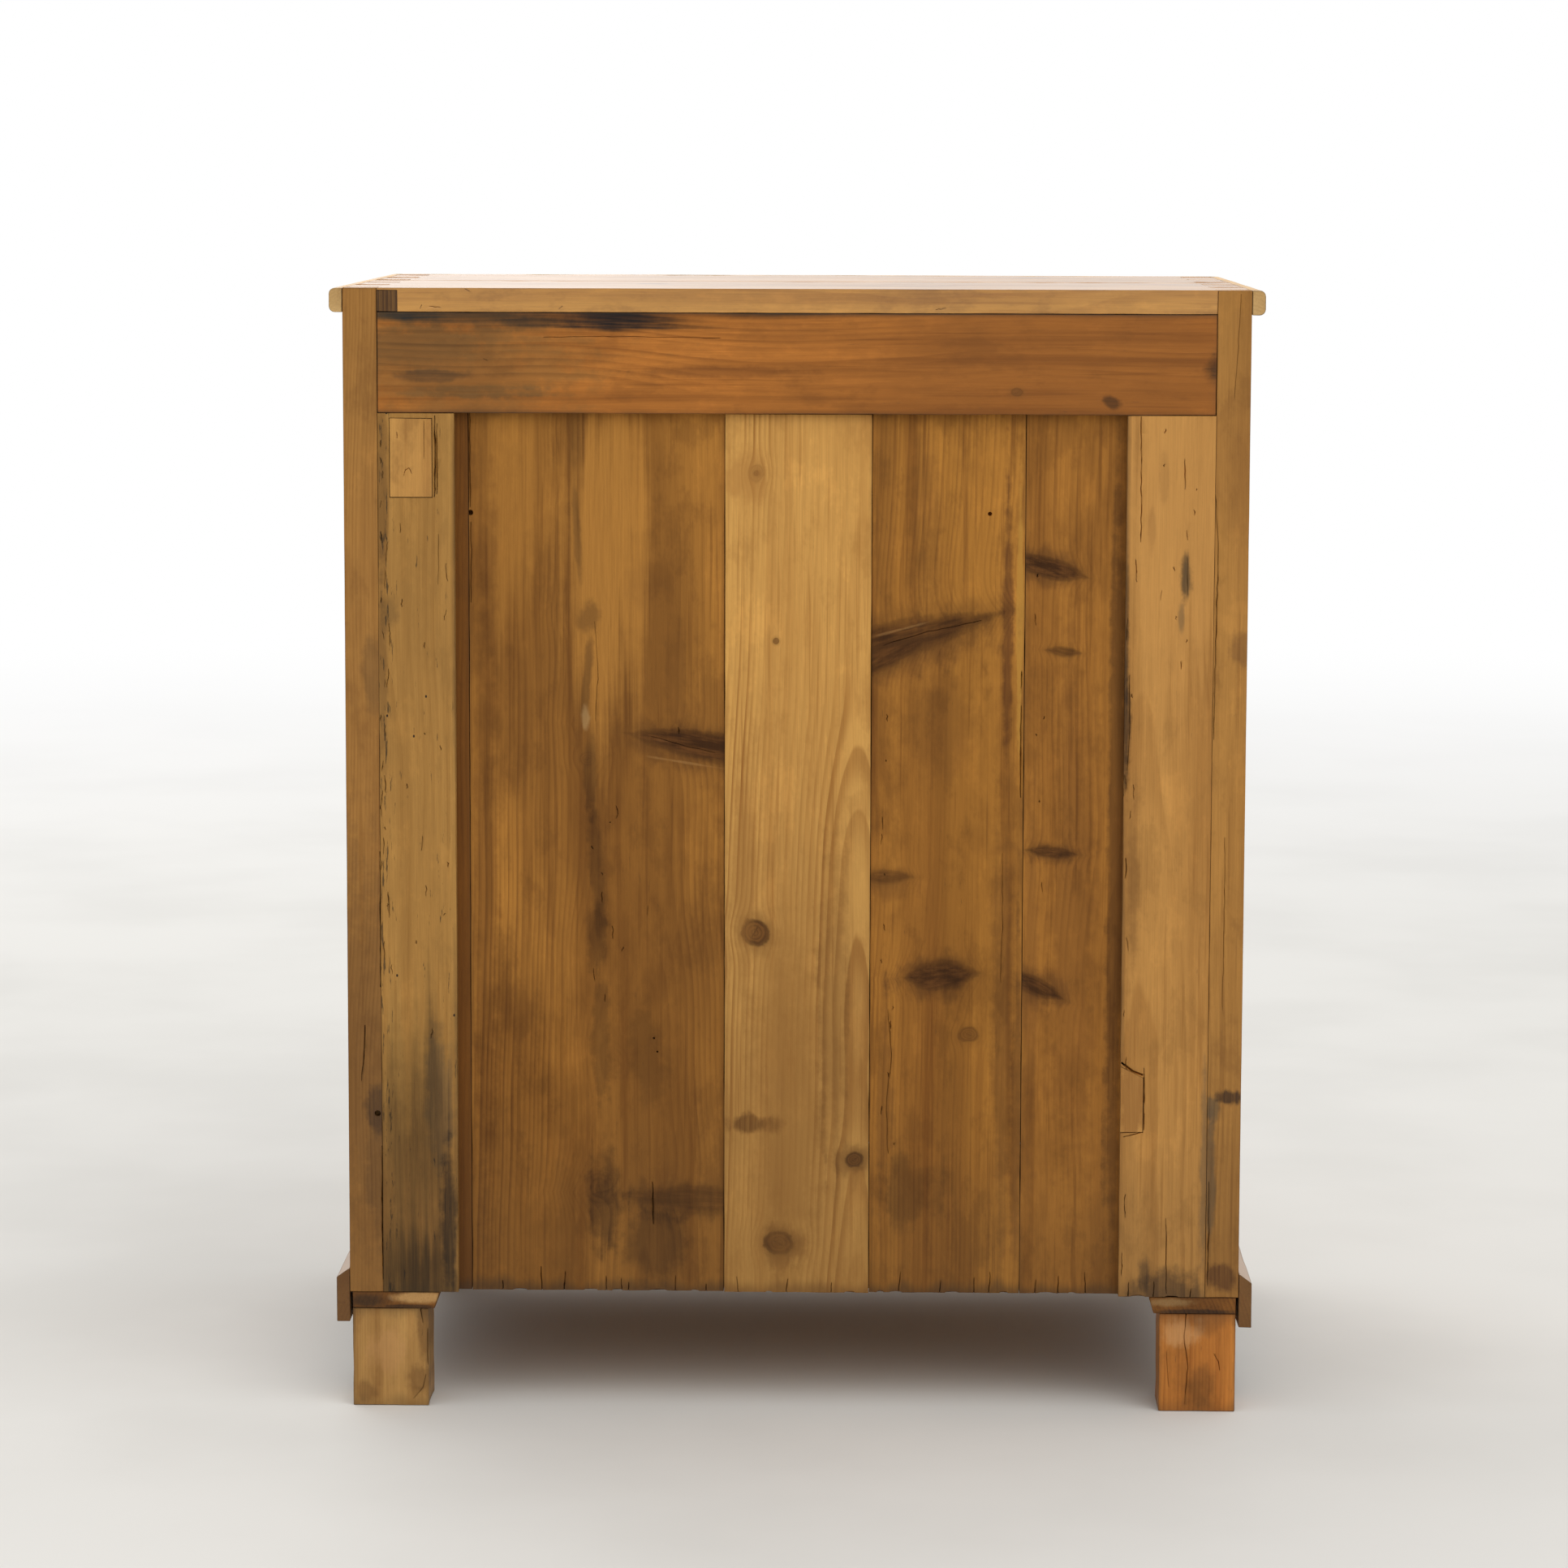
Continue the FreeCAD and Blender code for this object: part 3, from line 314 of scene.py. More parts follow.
def pine(name, axes, look, knots=(), stains=(), limits=None):
    """Sawn pine: rings round a pith, bent by knots, with fibres, stains, soil and wear.

    axes names the directions along the grain, across it and into the board. A knot is
    (along, across, reach along, reach across, turn, darkness), and one of no darkness only
    bends the grain. A stain is the same with a colour before the strength, and last its
    kind, where it isn't spots on the face. Places and reaches are in millimetres.
    """
    material, tree, shader = new_material(name)
    here = object_place(tree)
    seed = attribute(tree, "grain_seed")
    along, across, depth = (here[axis] for axis in axes)
    spot = vector(tree, along, across, 0.0)
    own_along = along + seed * BOARDS_APART
    bent = across + seed * look["scatter"]
    knots = [Knot(spot, in_metres(knot)) for knot in knots]
    for knot in knots:
        near = worked(tree, "EXPONENT", knot.distance * knot.distance * knot.PULL_FADES)
        bent = bent - (across - knot.across) * near * knot.pull

    def noise_along(name):
        turns, side_turns, detail, roughness, offset = NOISES[name]
        place = vector(tree, own_along * turns + offset, across * side_turns, depth * side_turns)
        return cloud(place, 1.0, detail, roughness)

    slow = vector(tree, own_along * look["reach"], across * look["reach"] * 0.4, seed * 9.0)
    drift = cloud(slow, 1.0, 2.0) - 0.5
    lift = cloud(slow, 1.7, 1.0) - 0.5
    side = bent - look["pith"][0] + drift * look["wander"]
    deep = depth - look["pith"][1] + lift * look["wander"]
    radius = worked(tree, "SQRT", side * side + deep * deep) + own_along * look["taper"]
    growth = cloud(vector(tree, radius * GROWTH_TURNS, 0.0, seed * 5.0), 1.0, 1.0) - 0.5
    wobble = (noise_along("wobble") - 0.5) * WOBBLE
    rings = (radius + growth * GROWTH + wobble) / look["pitch"]
    phase = worked(tree, "FRACT", rings)
    count = worked(tree, "FLOOR", rings)
    vigour = rise(cloud(vector(tree, count * 0.61, 0.0, 0.0), 1.0, 1.0), 0.3, 0.7)
    latewood = rise(phase, *LATE_STARTS) * rise(phase, *LATE_ENDS) * (vigour * 0.8 + 0.2)

    names = ("fibre", "streak", "band", "tick", "patch", "smear", "hair")
    fibre, streak, band, tick, patch, smear, hair = (noise_along(name) for name in names)
    if look["tick_home"]:
        away = worked(tree, "ABSOLUTE", across - look["tick_home"][0])
        tick = tick + rise(away, look["tick_home"][1], 0.0) * 0.09
    zone = rise(noise_along("zone"), 0.38, 0.62)
    lines = latewood * (zone * 0.8 + 0.2) * look["contrast"]
    pale = rise(smear, 0.47, 0.34) * look["smear"]
    tone = (fibre - 0.5) * look["fibre"] * 2.0 + (patch - 0.5) * 0.3 + pale * 0.5 + 1.0
    marks = rise(tick, look["tick_level"], look["tick_level"] + 0.08) * rise(band, 0.35, 0.6)
    marks = marks * look["ticks"]

    colour = blended(look["early"], look["late"], rise(band, 0.42, 0.72) * look["bands"])
    colour = blended(colour, look["late"], lines)
    colour = blended(colour, look["late"], rise(hair, 0.56, 0.72) * look["hair"])
    colour = blended(colour, look["late"], rise(streak, 0.5, 0.76) * look["streaks"])
    colour = blended(colour, look["blotch"], rise(patch, 0.47, 0.74) * look["blotches"])
    colour = blended(colour, look["blotch"], rise(smear, 0.51, 0.64) * look["smear"])
    colour = blended(colour, grey(tone), 1.0, "MULTIPLY")
    colour = blended(colour, look["blotch"], rise(noise_along("haze"), 0.45, 0.7) * look["haze"])
    colour = blended(colour, look["soil"], marks)
    height = lines * 0.5 + fibre * 0.5 + hair * 0.3 - marks * 0.8
    ragged = noise_along("ragged") - 0.5
    colour, hollow = knotted(colour, knots, ragged, smear)

    spotty = (smear - 0.5) * 1.4 + (streak - 0.5) * 1.2 + ragged * 1.2 + (hair - 0.5) * 0.6
    brushed = (streak - 0.5) * 1.5 + (hair - 0.5) * 0.9 + ragged * 0.3
    # The kinds set a stain's outline. "smoke" is a streaky one, used for smoke and water stains and for
    # one line of painted shade on the rail.
    grounds = {
        "face": (spot, None, spotty), "smoke": (spot, None, brushed),
        "edge": (vector(tree, along, depth, 0.0), across, spotty),
        "end": (vector(tree, across, depth, 0.0), along, spotty * 0.5),
    }
    cover = fibre * 0.8 + lines * 0.3 + 0.5
    for stain in stains:
        colour = stained(colour, in_metres(stain), grounds, cover, look["early"])
    if look["worms"]:
        dots = worm_dots(tree, along, across, look["worms"])
        colour = blended(colour, WORM_HOLE, dots)
        height = height - dots * 3.0
    colour = soiled(tree, colour, look, limits, axes, here, patch, streak)
    wax, rough = look["wax"], look["rough"]
    # The crown: the top face takes its own colour and the top's wax. On the sides this is the waxed top's
    # own tone. On the base moulding the lighter colour is partly a painted highlight standing for the
    # glancing sheen on its top, and partly rubbed wear.
    if look["crown_tone_and_painted_sheen"]:
        crown_tone_and_painted_sheen = rise(here["z"], *look["crown_tone_and_painted_sheen"][1:]) * rise(here["y"], *CROWN_RIM)
        colour = blended(colour, look["crown_tone_and_painted_sheen"][0], crown_tone_and_painted_sheen * 0.8)
        wax = crown_tone_and_painted_sheen * (TOP_WAX - look["wax"]) + wax
        rough = crown_tone_and_painted_sheen * (TOP_ROUGH - look["rough"]) + rough
    if hollow is not None:
        height = height - hollow * 0.5

    plug(tree, colour, shader.inputs["Base Color"])
    plug(tree, (patch - 0.5) * 0.22 - lines * 0.06 + rough, shader.inputs["Roughness"])
    plug(tree, bumped(tree, height, look["bump"], BUMP_DEPTH), shader.inputs["Normal"])
    plug(tree, wax, shader.inputs["Coat Weight"])
    shader.inputs["Specular IOR Level"].default_value = look["gloss"]
    shader.inputs["Coat Roughness"].default_value = look["wax_rough"]
    return material


def knotted(colour, knots, ragged, smear):
    """The colour with the dark knots laid over it, and how far they lie sunk, if there are any."""
    hollow = None
    for knot in knots:
        if not knot.dark:
            continue
        haze = rise(knot.distance + ragged * 1.2 + (smear - 0.5) * 1.5, 2.2, 0.5)
        colour = blended(colour, KNOT_HAZE, haze * (knot.dark * 0.6))
        grain, dark = knot.heart(ragged)
        rim_place = knot.distance + (grain - 0.5) * 0.5 + ragged * 0.5
        body = rise(rim_place, 1.15, 0.6 if knot.long else 0.85) * knot.dark
        colour = blended(colour, blended(KNOT_BROWN, KNOT_DARK, dark), body)
        rim = rise(rim_place, 0.7, 0.95) * rise(rim_place, 1.25, 1.0)
        colour = blended(colour, KNOT_DARK, rim * (knot.dark * knot.dark * (0.3 if knot.long else 0.75)))
        sunk = body + dark * body
        hollow = sunk if hollow is None else worked(ragged.tree, "MAXIMUM", hollow, sunk)
    return colour, hollow


def stained(colour, stain, grounds, cover, early):
    """The colour with one stain, or with painted shade where a row stands for a shadow: a dark one tints
    the wood, and a paler one covers it.
    """
    oval, paint, strength = stain[:5], stain[5], stain[6]
    ground, inwards, uneven = grounds[stain[7] if len(stain) > 7 else "face"]
    share = rise(length(oval_place(ground, *oval)) + uneven, *STAIN_RIM) * cover
    if inwards:
        share = share * rise(inwards, *END_STAIN)
    if max(paint) < TINT_BELOW:
        tint = [min(1.0, channel / plain) for channel, plain in zip(paint, early)]
        return blended(colour, tint, share * strength, "MULTIPLY")
    return blended(colour, paint, share * strength)


def worm_dots(tree, along, across, share):
    """Beetle holes: small dark dots in a share of the cells of a loose pattern."""
    cells = added(tree, "TexVoronoi", {
        "Scale": 1.0, "Vector": vector(tree, along * 62.0, across * 95.0, 0.0)}, voronoi_dimensions="2D")
    lot = added(tree, "SeparateColor", {0: Field(tree, cells.outputs["Color"])})
    chosen = rise(Field(tree, lot.outputs[0]), 1.0 - share, 1.02 - share)
    return rise(Field(tree, cells.outputs["Distance"]), 0.085, 0.06) * chosen


def soiled(tree, colour, look, limits, axes, here, patch, streak):
    """Soil in the worn edges and along the seams, and, where wanted, darker towards the bottom."""
    uneven = rise(patch, 0.3, 0.66)
    edge = attribute(tree, "worn") * (uneven * 0.5 + 0.05)
    colour = blended(colour, look["soil"], edge)
    if limits:
        along, across = (here[axis] for axis in axes[:2])
        low, high = limits
        first = worked(tree, "MINIMUM", across - low[1], high[1] - across)
        seam = rise(first + (streak - 0.5) * 0.004, *SEAM_SOIL)
        colour = blended(colour, look["soil"], seam * look["seams"] * (uneven * 0.85 + 0.15))
        second = worked(tree, "MINIMUM", along - low[0], high[0] - along)
        end = rise(second + (patch - 0.5) * 0.02 + (streak - 0.5) * 0.02, END_SOIL, 0.0)
        colour = blended(colour, look["soil"], end * look["ends"])
    # Where wanted, darker towards the bottom, in the soil colour.
    if look["low_darkening"]:
        ragged = here["z"] + (streak - 0.5) * 0.16 + (patch - 0.5) * 0.10
        lower_share = rise(ragged, look["low_reach"][1], look["low_reach"][0])
        colour = blended(colour, look["soil"], lower_share * look["low_darkening"])
    return colour


# Metal

SPOTTED = 0.45


def metal(name, bright, dull, spots, rough):
    """Old metal: a dull film, brighter worn edges, and spots of tarnish or rust."""
    material, tree, shader = new_material(name)
    here = object_place(tree)
    place = vector(tree, here["x"], here["y"], here["z"])
    film = cloud(place, 160.0, 4.0, 0.6)
    stain = cloud(place, 620.0, 3.0, 0.6, 0.6)
    scratch = cloud(vector(tree, here["x"] * 900.0, here["y"] * 900.0, here["z"] * 130.0), 1.0, 2.0)
    colour = blended(dull, bright, rise(film, 0.52, 0.8) * 0.55)
    colour = blended(colour, bright, attribute(tree, "worn") * rise(film, 0.3, 0.6) * 0.8)
    colour = blended(colour, spots, rise(stain, 0.55, 0.72) * SPOTTED)
    plug(tree, colour, shader.inputs["Base Color"])
    plug(tree, (film - 0.5) * 0.3 + (stain - 0.5) * 0.2 + rough, shader.inputs["Roughness"])
    plug(tree, 1.0 - rise(stain, 0.55, 0.72) * (SPOTTED * 0.8), shader.inputs["Metallic"])
    height = film * 0.4 + stain * 0.4 + scratch * 0.2
    plug(tree, bumped(tree, height, 0.3, 0.0002), shader.inputs["Normal"])
    return material


# Pieces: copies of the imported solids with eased, worn edges and cuts

def clean_mesh(node):
    """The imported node's mesh with joined corners and whole flat faces."""
    bm = bmesh.new()
    bm.from_mesh(frame["nodes"][node].data)
    bmesh.ops.remove_doubles(bm, verts=bm.verts, dist=MERGED)
    bmesh.ops.dissolve_limit(bm, angle_limit=FLAT, verts=bm.verts, edges=bm.edges)
    return bm


def sharp_edges(bm):
    return [e for e in bm.edges if e.is_manifold and e.is_convex and e.calc_face_angle(0.0) > SHARP]


def lies_on(point, segments):
    for a, b in segments:
        line = b - a
        share = max(0.0, min(1.0, (point - a).dot(line) / line.length_squared))
        if (a + line * share - point).length < ON_EDGE:
            return True
    return False


def carve(bm, cutters):
    """Takes the cutters' shapes out of the mesh, one after another."""
    solid = mesh_object("carved", bm)
    tools = []
    for cutter in cutters:
        tool = mesh_object("carver", cutter)
        step = solid.modifiers.new("cut", "BOOLEAN")
        step.operation = "DIFFERENCE"
        step.solver = "EXACT"
        step.object = tool
        tools.append(tool)
    seen = solid.evaluated_get(bpy.context.evaluated_depsgraph_get())
    result = bmesh.new()
    result.from_mesh(seen.to_mesh())
    for obj in [solid] + tools:
        bpy.data.objects.remove(obj)
    bmesh.ops.remove_doubles(result, verts=result.verts, dist=CUT_MERGED)
    bmesh.ops.recalc_face_normals(result, faces=result.faces)
    return result


def mesh_object(name, bm):
    mesh = bpy.data.meshes.new(name)
    bm.to_mesh(mesh)
    bm.free()
    obj = bpy.data.objects.new(name, mesh)
    bpy.context.scene.collection.objects.link(obj)
    return obj


def extent(bm):
    """The lowest and the highest x, y and z of a mesh."""
    return [[limit(v.co[i] for v in bm.verts) for i in range(3)] for limit in (min, max)]


def split_into_cells(bm, size):
    """Cuts the faces by even planes, so that wear can bend them."""
    lows, highs = extent(bm)
    for i in range(3):
        count = int((highs[i] - lows[i]) / size)
        normal = Vector([float(i == k) for k in range(3)])
        for k in range(1, count + 1):
            place = normal * (lows[i] + (highs[i] - lows[i]) * k / (count + 1))
            everything = bm.verts[:] + bm.edges[:] + bm.faces[:]
            bmesh.ops.bisect_plane(bm, geom=everything, dist=CUT_MERGED, plane_co=place, plane_no=normal)


def wear(bm, dent, edge_wear, seed):
    """Moves each point a little inwards, more on the eased edges."""
    worn = bm.faces.layers.float["worn"]
    away = Vector((seed * 3.1, seed * 1.7, seed * 2.3))
    bm.normal_update()
    moves = []
    for v in bm.verts:
        edge = max((f[worn] for f in v.link_faces), default=0.0)
        wave = 0.5 + 0.5 * noise.noise(v.co * DENT_TURNS + away)
        nick = max(0.0, noise.noise(v.co * NICK_TURNS[0] + away))
        nick += 0.6 * max(0.0, noise.noise(v.co * NICK_TURNS[1] - away))
        moves.append(v.normal * -(dent * wave + edge * edge_wear * nick))
    low, high = extent(bm)
    for v, move in zip(bm.verts, moves):
        place = v.co + move
        v.co = [min(max(place[i], low[i]), high[i]) for i in range(3)]


def mark_boards(bm, seed):
    """Gives each loose board in the piece its own number for the grain."""
    layer = bm.verts.layers.float.new("grain_seed")
    bm.verts.ensure_lookup_table()
    done = set()
    count = 0
    for first in sorted(bm.verts, key=lambda v: [round(v.co[i], 4) for i in (0, 2, 1)]):
        if first in done:
            continue
        open_ends = [first]
        done.add(first)
        while open_ends:
            vert = open_ends.pop()
            vert[layer] = (seed + count * 0.37) % 1.0
            for edge in vert.link_edges:
                other = edge.other_vert(vert)
                if other not in done:
                    done.add(other)
                    open_ends.append(other)
        count += 1


def aged(node, cuts=(), eased=EASED, cell=CELL, dent=DENT, edge_wear=EDGE_WEAR, seed=0.0):
    """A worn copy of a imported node, inside its surface."""
    bm = clean_mesh(node)
    segments = [(e.verts[0].co.copy(), e.verts[1].co.copy()) for e in sharp_edges(bm)]
    if cuts:
        bm = carve(bm, cuts)
    worn = bm.faces.layers.float.new("worn")
    edges = [e for e in sharp_edges(bm) if lies_on((e.verts[0].co + e.verts[1].co) / 2, segments)]
    result = bmesh.ops.bevel(
        bm, geom=edges, offset=eased, offset_type="OFFSET", segments=2, profile=0.5,
        affect="EDGES", clamp_overlap=True)
    for face in result["faces"]:
        face[worn] = 1.0
    if cell:
        split_into_cells(bm, cell)
    wear(bm, dent, edge_wear, seed)
    mark_boards(bm, seed)
    piece = mesh_object(node + "_aged", bm)
    finish_piece(piece)
    return piece


def finish_piece(piece):
    """Smooth shading that keeps the flats flat and the corners crisp."""
    piece.data.shade_smooth()
    piece.data.set_sharp_from_angle(angle=SMOOTHED)
    weighted = piece.modifiers.new("flats", "WEIGHTED_NORMAL")
    weighted.keep_sharp = True


def place_piece(piece, node, material):
    """Puts a piece on its node's body, in place of the node."""
    piece.data.materials.clear()
    piece.data.materials.append(material)
    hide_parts(node)
    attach(piece, frame["nodes"][node]["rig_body"])
    return piece


def board_limits(node, axes):
    """The ends and the edges of a single board, along and across its grain."""
    low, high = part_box(node)
    order = ["xyz".index(axis) for axis in axes[:2]]
    return [low[i] for i in order], [high[i] for i in order]


def wood(node, axes, look, knots=(), stains=(), cuts=(), slot="case_pine", single=True, **shape):
    """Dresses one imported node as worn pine; a node of several boards isn't single."""
    limits = board_limits(node, axes) if single else None
    material = pine(node + "_pine", axes, look, knots, stains, limits)
    place_piece(aged(node, cuts, **shape), node, material)


# Cutters for cracks, beetle holes and chips, all in faces that look out of the back

PANEL_FACE = 0.242
CENTRE_FACE = 0.2445
FOOT_FACE = 0.248
OUT = Vector((0.0, 1.0, 0.0))
CUT_ABOVE = 0.0006
CRACK_SWAY = 0.00035
CRACK_OPENS = (0.6, 1.15)
HOLE_ABOVE = 0.0005
HOLE_SIDES = 10
TRACK_WIDTH = (0.0008, 0.0017)
TRACK_DEPTH = 0.0025
TRACK_SWAY = 0.0008
SPLIT_HEIGHT = (0.006, 0.020)
SPLIT_WIDTH = (0.0009, 0.0016)
SPLIT_SWAY = 0.0012
CHIP_WIDTH = (0.003, 0.008)
CHIP_HEIGHT = (0.0010, 0.0022)
CHIP_DEPTH = 0.0045


def crack(points, width, deep, seed, step):
    """A V-shaped cutter along a wandering line on a face, narrowing to both ends."""
    points = [Vector(p) for p in points]
    dice = random.Random(seed)
    line = []
    for a, b in zip(points[:-1], points[1:]):
        count = max(1, int((b - a).length / step))
        line += [a.lerp(b, k / count) for k in range(count)]
    line.append(points[-1])
    sections = []
    bm = bmesh.new()
    for k, place in enumerate(line):
        ahead = (line[min(k + 1, len(line) - 1)] - line[max(k - 1, 0)]).normalized()
        side = ahead.cross(OUT).normalized()
        share = k / (len(line) - 1)
        narrowed = 0.25 + 0.75 * math.sin(math.pi * (0.12 + 0.76 * share))
        open_by = width * narrowed * dice.uniform(*CRACK_OPENS)
        place = place + side * dice.uniform(-CRACK_SWAY, CRACK_SWAY)
        top = OUT * CUT_ABOVE
        corners = [
            place + top + side * open_by / 2, place + top - side * open_by / 2, place - OUT * deep]
        sections.append([bm.verts.new(c) for c in corners])
    for first, second in zip(sections[:-1], sections[1:]):
        join_rings(bm, first, second)
    bm.faces.new(sections[0])
    bm.faces.new(reversed(sections[-1]))
    bmesh.ops.recalc_face_normals(bm, faces=bm.faces)
    return bm


def join_rings(bm, first, second):
    """Faces between two closed rows of points."""
    for i in range(len(first)):
        j = (i + 1) % len(first)
        bm.faces.new((first[i], first[j], second[j], second[i]))


def hole(place, radius, deep):
    """A round cutter straight into a face."""
    bm = bmesh.new()
    turn = OUT.to_track_quat("Z", "Y").to_matrix().to_4x4()
    matrix = Matrix.Translation(Vector(place) - OUT * (deep / 2 - HOLE_ABOVE)) @ turn
    bmesh.ops.create_cone(
        bm, cap_ends=True, segments=HOLE_SIDES, radius1=radius * 0.7, radius2=radius,
        depth=deep + 2 * HOLE_ABOVE, matrix=matrix)
    return bm


def chip(place, size):
    """A lumpy cutter for a knocked corner."""
    bm = bmesh.new()
    matrix = Matrix.Translation(place) @ Matrix.Diagonal((*size, 1.0))
    bmesh.ops.create_icosphere(bm, subdivisions=2, radius=1.0, matrix=matrix)
    for v in bm.verts:
        v.co += (v.co - Vector(place)) * 0.3 * noise.noise(v.co * 260.0)
    return bm


def cracks(face, rows):
    """Cutters from rows in millimetres.

    A row is (seed, width, depth, step, then the crack's points as x and z). One point alone
    is a beetle hole.
    """
    cutters = []
    for seed, *sizes in rows:
        width, deep, step = (metres(size) for size in sizes[:3])
        places = [(metres(x), face, metres(z)) for x, z in sizes[3:]]
        if len(places) == 1:
            cutters.append(hole(places[0], width / 2, deep))
        else:
            cutters.append(crack(places, width, deep, seed, step))
    return cutters


def worm_tracks(x, z, count, seed, longest=0.016, face=BACK_FACE):
    """Short broken cracks along the grain, where beetles have opened the surface."""
    dice = random.Random(seed)
    tracks = []
    for k in range(count):
        across = dice.uniform(*x)
        high = z[0] + (z[1] - z[0]) * (k + dice.uniform(0.1, 0.9)) / count
        size = longest * dice.uniform(0.2, 1.0) ** 1.5
        line = [(across, face, high)]
        for step in range(3):
            across += dice.uniform(-TRACK_SWAY, TRACK_SWAY)
            line.append((across, face, high - size * (step + 1) / 3))
        tracks.append(crack(line, dice.uniform(*TRACK_WIDTH), TRACK_DEPTH, seed + k, 0.002))
    return tracks


def worn_end(node, splits, chips, seed, face=PANEL_FACE):
    """Short cracks and lost splinters at the lower end of a board."""
    dice = random.Random(seed)
    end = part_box(node)[0][2]
    cuts = []
    for x in splits:
        top = end + dice.uniform(*SPLIT_HEIGHT)
        line = [(x, face, end - 0.001), (x + dice.uniform(-SPLIT_SWAY, SPLIT_SWAY), face, top)]
        cuts.append(crack(line, dice.uniform(*SPLIT_WIDTH), 0.003, seed + len(cuts), 0.003))
    for x in chips:
        size = (dice.uniform(*CHIP_WIDTH), CHIP_DEPTH, dice.uniform(*CHIP_HEIGHT))
        cuts.append(chip((x, face, end), size))
    return cuts


# The back, as the photograph shows it

UPRIGHT = "zxy"
LEVEL_X = "xzy"

RAIL = dict(
    PINE, early=(0.51, 0.183, 0.031), late=(0.20, 0.062, 0.009), pith=(0.80, 0.14), pitch=0.0027,
    wander=0.02, reach=2.2, taper=0.004, contrast=0.55, streaks=0.7, rough=0.45, wax=0.06, haze=0.5,
    blotch=(0.17, 0.060, 0.012))
STILE_RIGHT = dict(
    PINE, early=(0.51, 0.268, 0.068), late=(0.30, 0.138, 0.028), pith=(0.36, 0.17), pitch=0.0024,
    wander=0.01, contrast=0.5, low_darkening=0.2, low_reach=(0.09, 0.22), soil=(0.038, 0.025, 0.012),
    worms=0.05, ticks=0.85, blotch=(0.25, 0.125, 0.03), tick_level=0.645, tick_home=(0.3275, 0.012),
    haze=0.25)
STILE_LEFT = dict(
    PINE, early=(0.54, 0.265, 0.066), late=(0.28, 0.115, 0.022), pith=(-0.24, 0.15), pitch=0.0029,
    wander=0.012, contrast=0.45, low_darkening=0.25, low_reach=(0.09, 0.3), blotch=(0.25, 0.115, 0.026))
PANEL = dict(
    PINE, rough=0.66, wax=0.0, bump=0.5, streaks=0.6, blotches=0.6, seams=0.15, ends=0.6, gloss=0.12,
    blotch=(0.115, 0.042, 0.009), low_darkening=0.3, low_reach=(0.08, 0.30), haze=0.6, bands=0.55)
WIDE = dict(
    PANEL, early=(0.455, 0.198, 0.036), late=(0.15, 0.053, 0.009), pith=(0.168, 0.195),
    pitch=0.0036, wander=0.022, taper=0.02, contrast=0.52)
CENTRE = dict(
    PANEL, early=(0.70, 0.375, 0.099), late=(0.31, 0.122, 0.023), pith=(0.002, 0.208), pitch=0.0038,
    wander=0.016, taper=0.03, contrast=0.95, streaks=0.35, bands=0.25, blotches=0.3, rough=0.55,
    low_darkening=0.45, low_reach=(0.10, 0.66), soil=(0.13, 0.062, 0.020), ticks=0.15, haze=0.3,
    blotch=(0.36, 0.16, 0.036))
KNOTTY = dict(
    PANEL, early=(0.50, 0.217, 0.037), late=(0.15, 0.050, 0.009), pith=(-0.168, 0.2),
    pitch=0.0036, wander=0.028, taper=0.022, contrast=0.42)
NARROW = dict(
    PANEL, early=(0.42, 0.176, 0.031), late=(0.14, 0.047, 0.008), pith=(-0.19, 0.18),
    pitch=0.003, wander=0.022, contrast=0.42)
STRIP = dict(PANEL, early=(0.20, 0.075, 0.012), late=(0.10, 0.035, 0.006), contrast=0.5)
DARK = (0.055, 0.026, 0.009)
SAPWOOD = (0.50, 0.25, 0.045)


def dress_back_rail():
    knots = [(-174.4, 824.1, 5.2, 3.4, 0, 0.5), (-120, 800, 8, 6, 0, 0)]
    patina = (0.27, 0.125, 0.032)
    smoke = (0.13, 0.066, 0.022)
    stains = [
        (290, 848, 160, 50, 0, patina, 0.7), (300, 860, 90, 20, 0, patina, 0.5),
        (140, 886, 78, 19, 0, DARK, 1, "smoke"), (150, 885, 60, 15, 0, (0.1, 0.055, 0.03), 1, "smoke"),
        (245, 887, 120, 17, 0, smoke, 1, "smoke"), (205, 879, 45, 7.5, -2, smoke, 0.8, "smoke"),
        (310, 887, 40, 11, 0, (0.12, 0.08, 0.045), 0.9, "smoke"), (30, 888, 80, 8, 0, DARK, 1, "smoke"),
        # The row at -150 is painted shade: a thin dark line along the top of the rail, under the top's
        # proud rear edge. Its "smoke" kind only gives it a ragged outline.
        (-150, 888, 220, 3, 0, DARK, 0.9, "smoke"), (-250, 815.7, 9, 6, 30, DARK, 0.75),
        (-333, 844, 13, 12, 0, DARK, 0.8), (250, 823, 70, 6, 0, patina, 0.7),
        (290, 835, 30, 5, 0, (0.11, 0.055, 0.02), 0.6), (50, 840, 90, 6, 0, (0.17, 0.055, 0.012), 0.5),
    ]
    cuts = cracks(BACK_FACE, [
        (21, 0.7, 2, 6, (200, 866.5), (140, 867), (60, 866.2)), (22, 1, 2, 2, (247.5, 849), (244, 848)),
    ])
    wood("back_rail", LEVEL_X, RAIL, knots, stains, cuts, slot="rail_pine", seed=0.11)


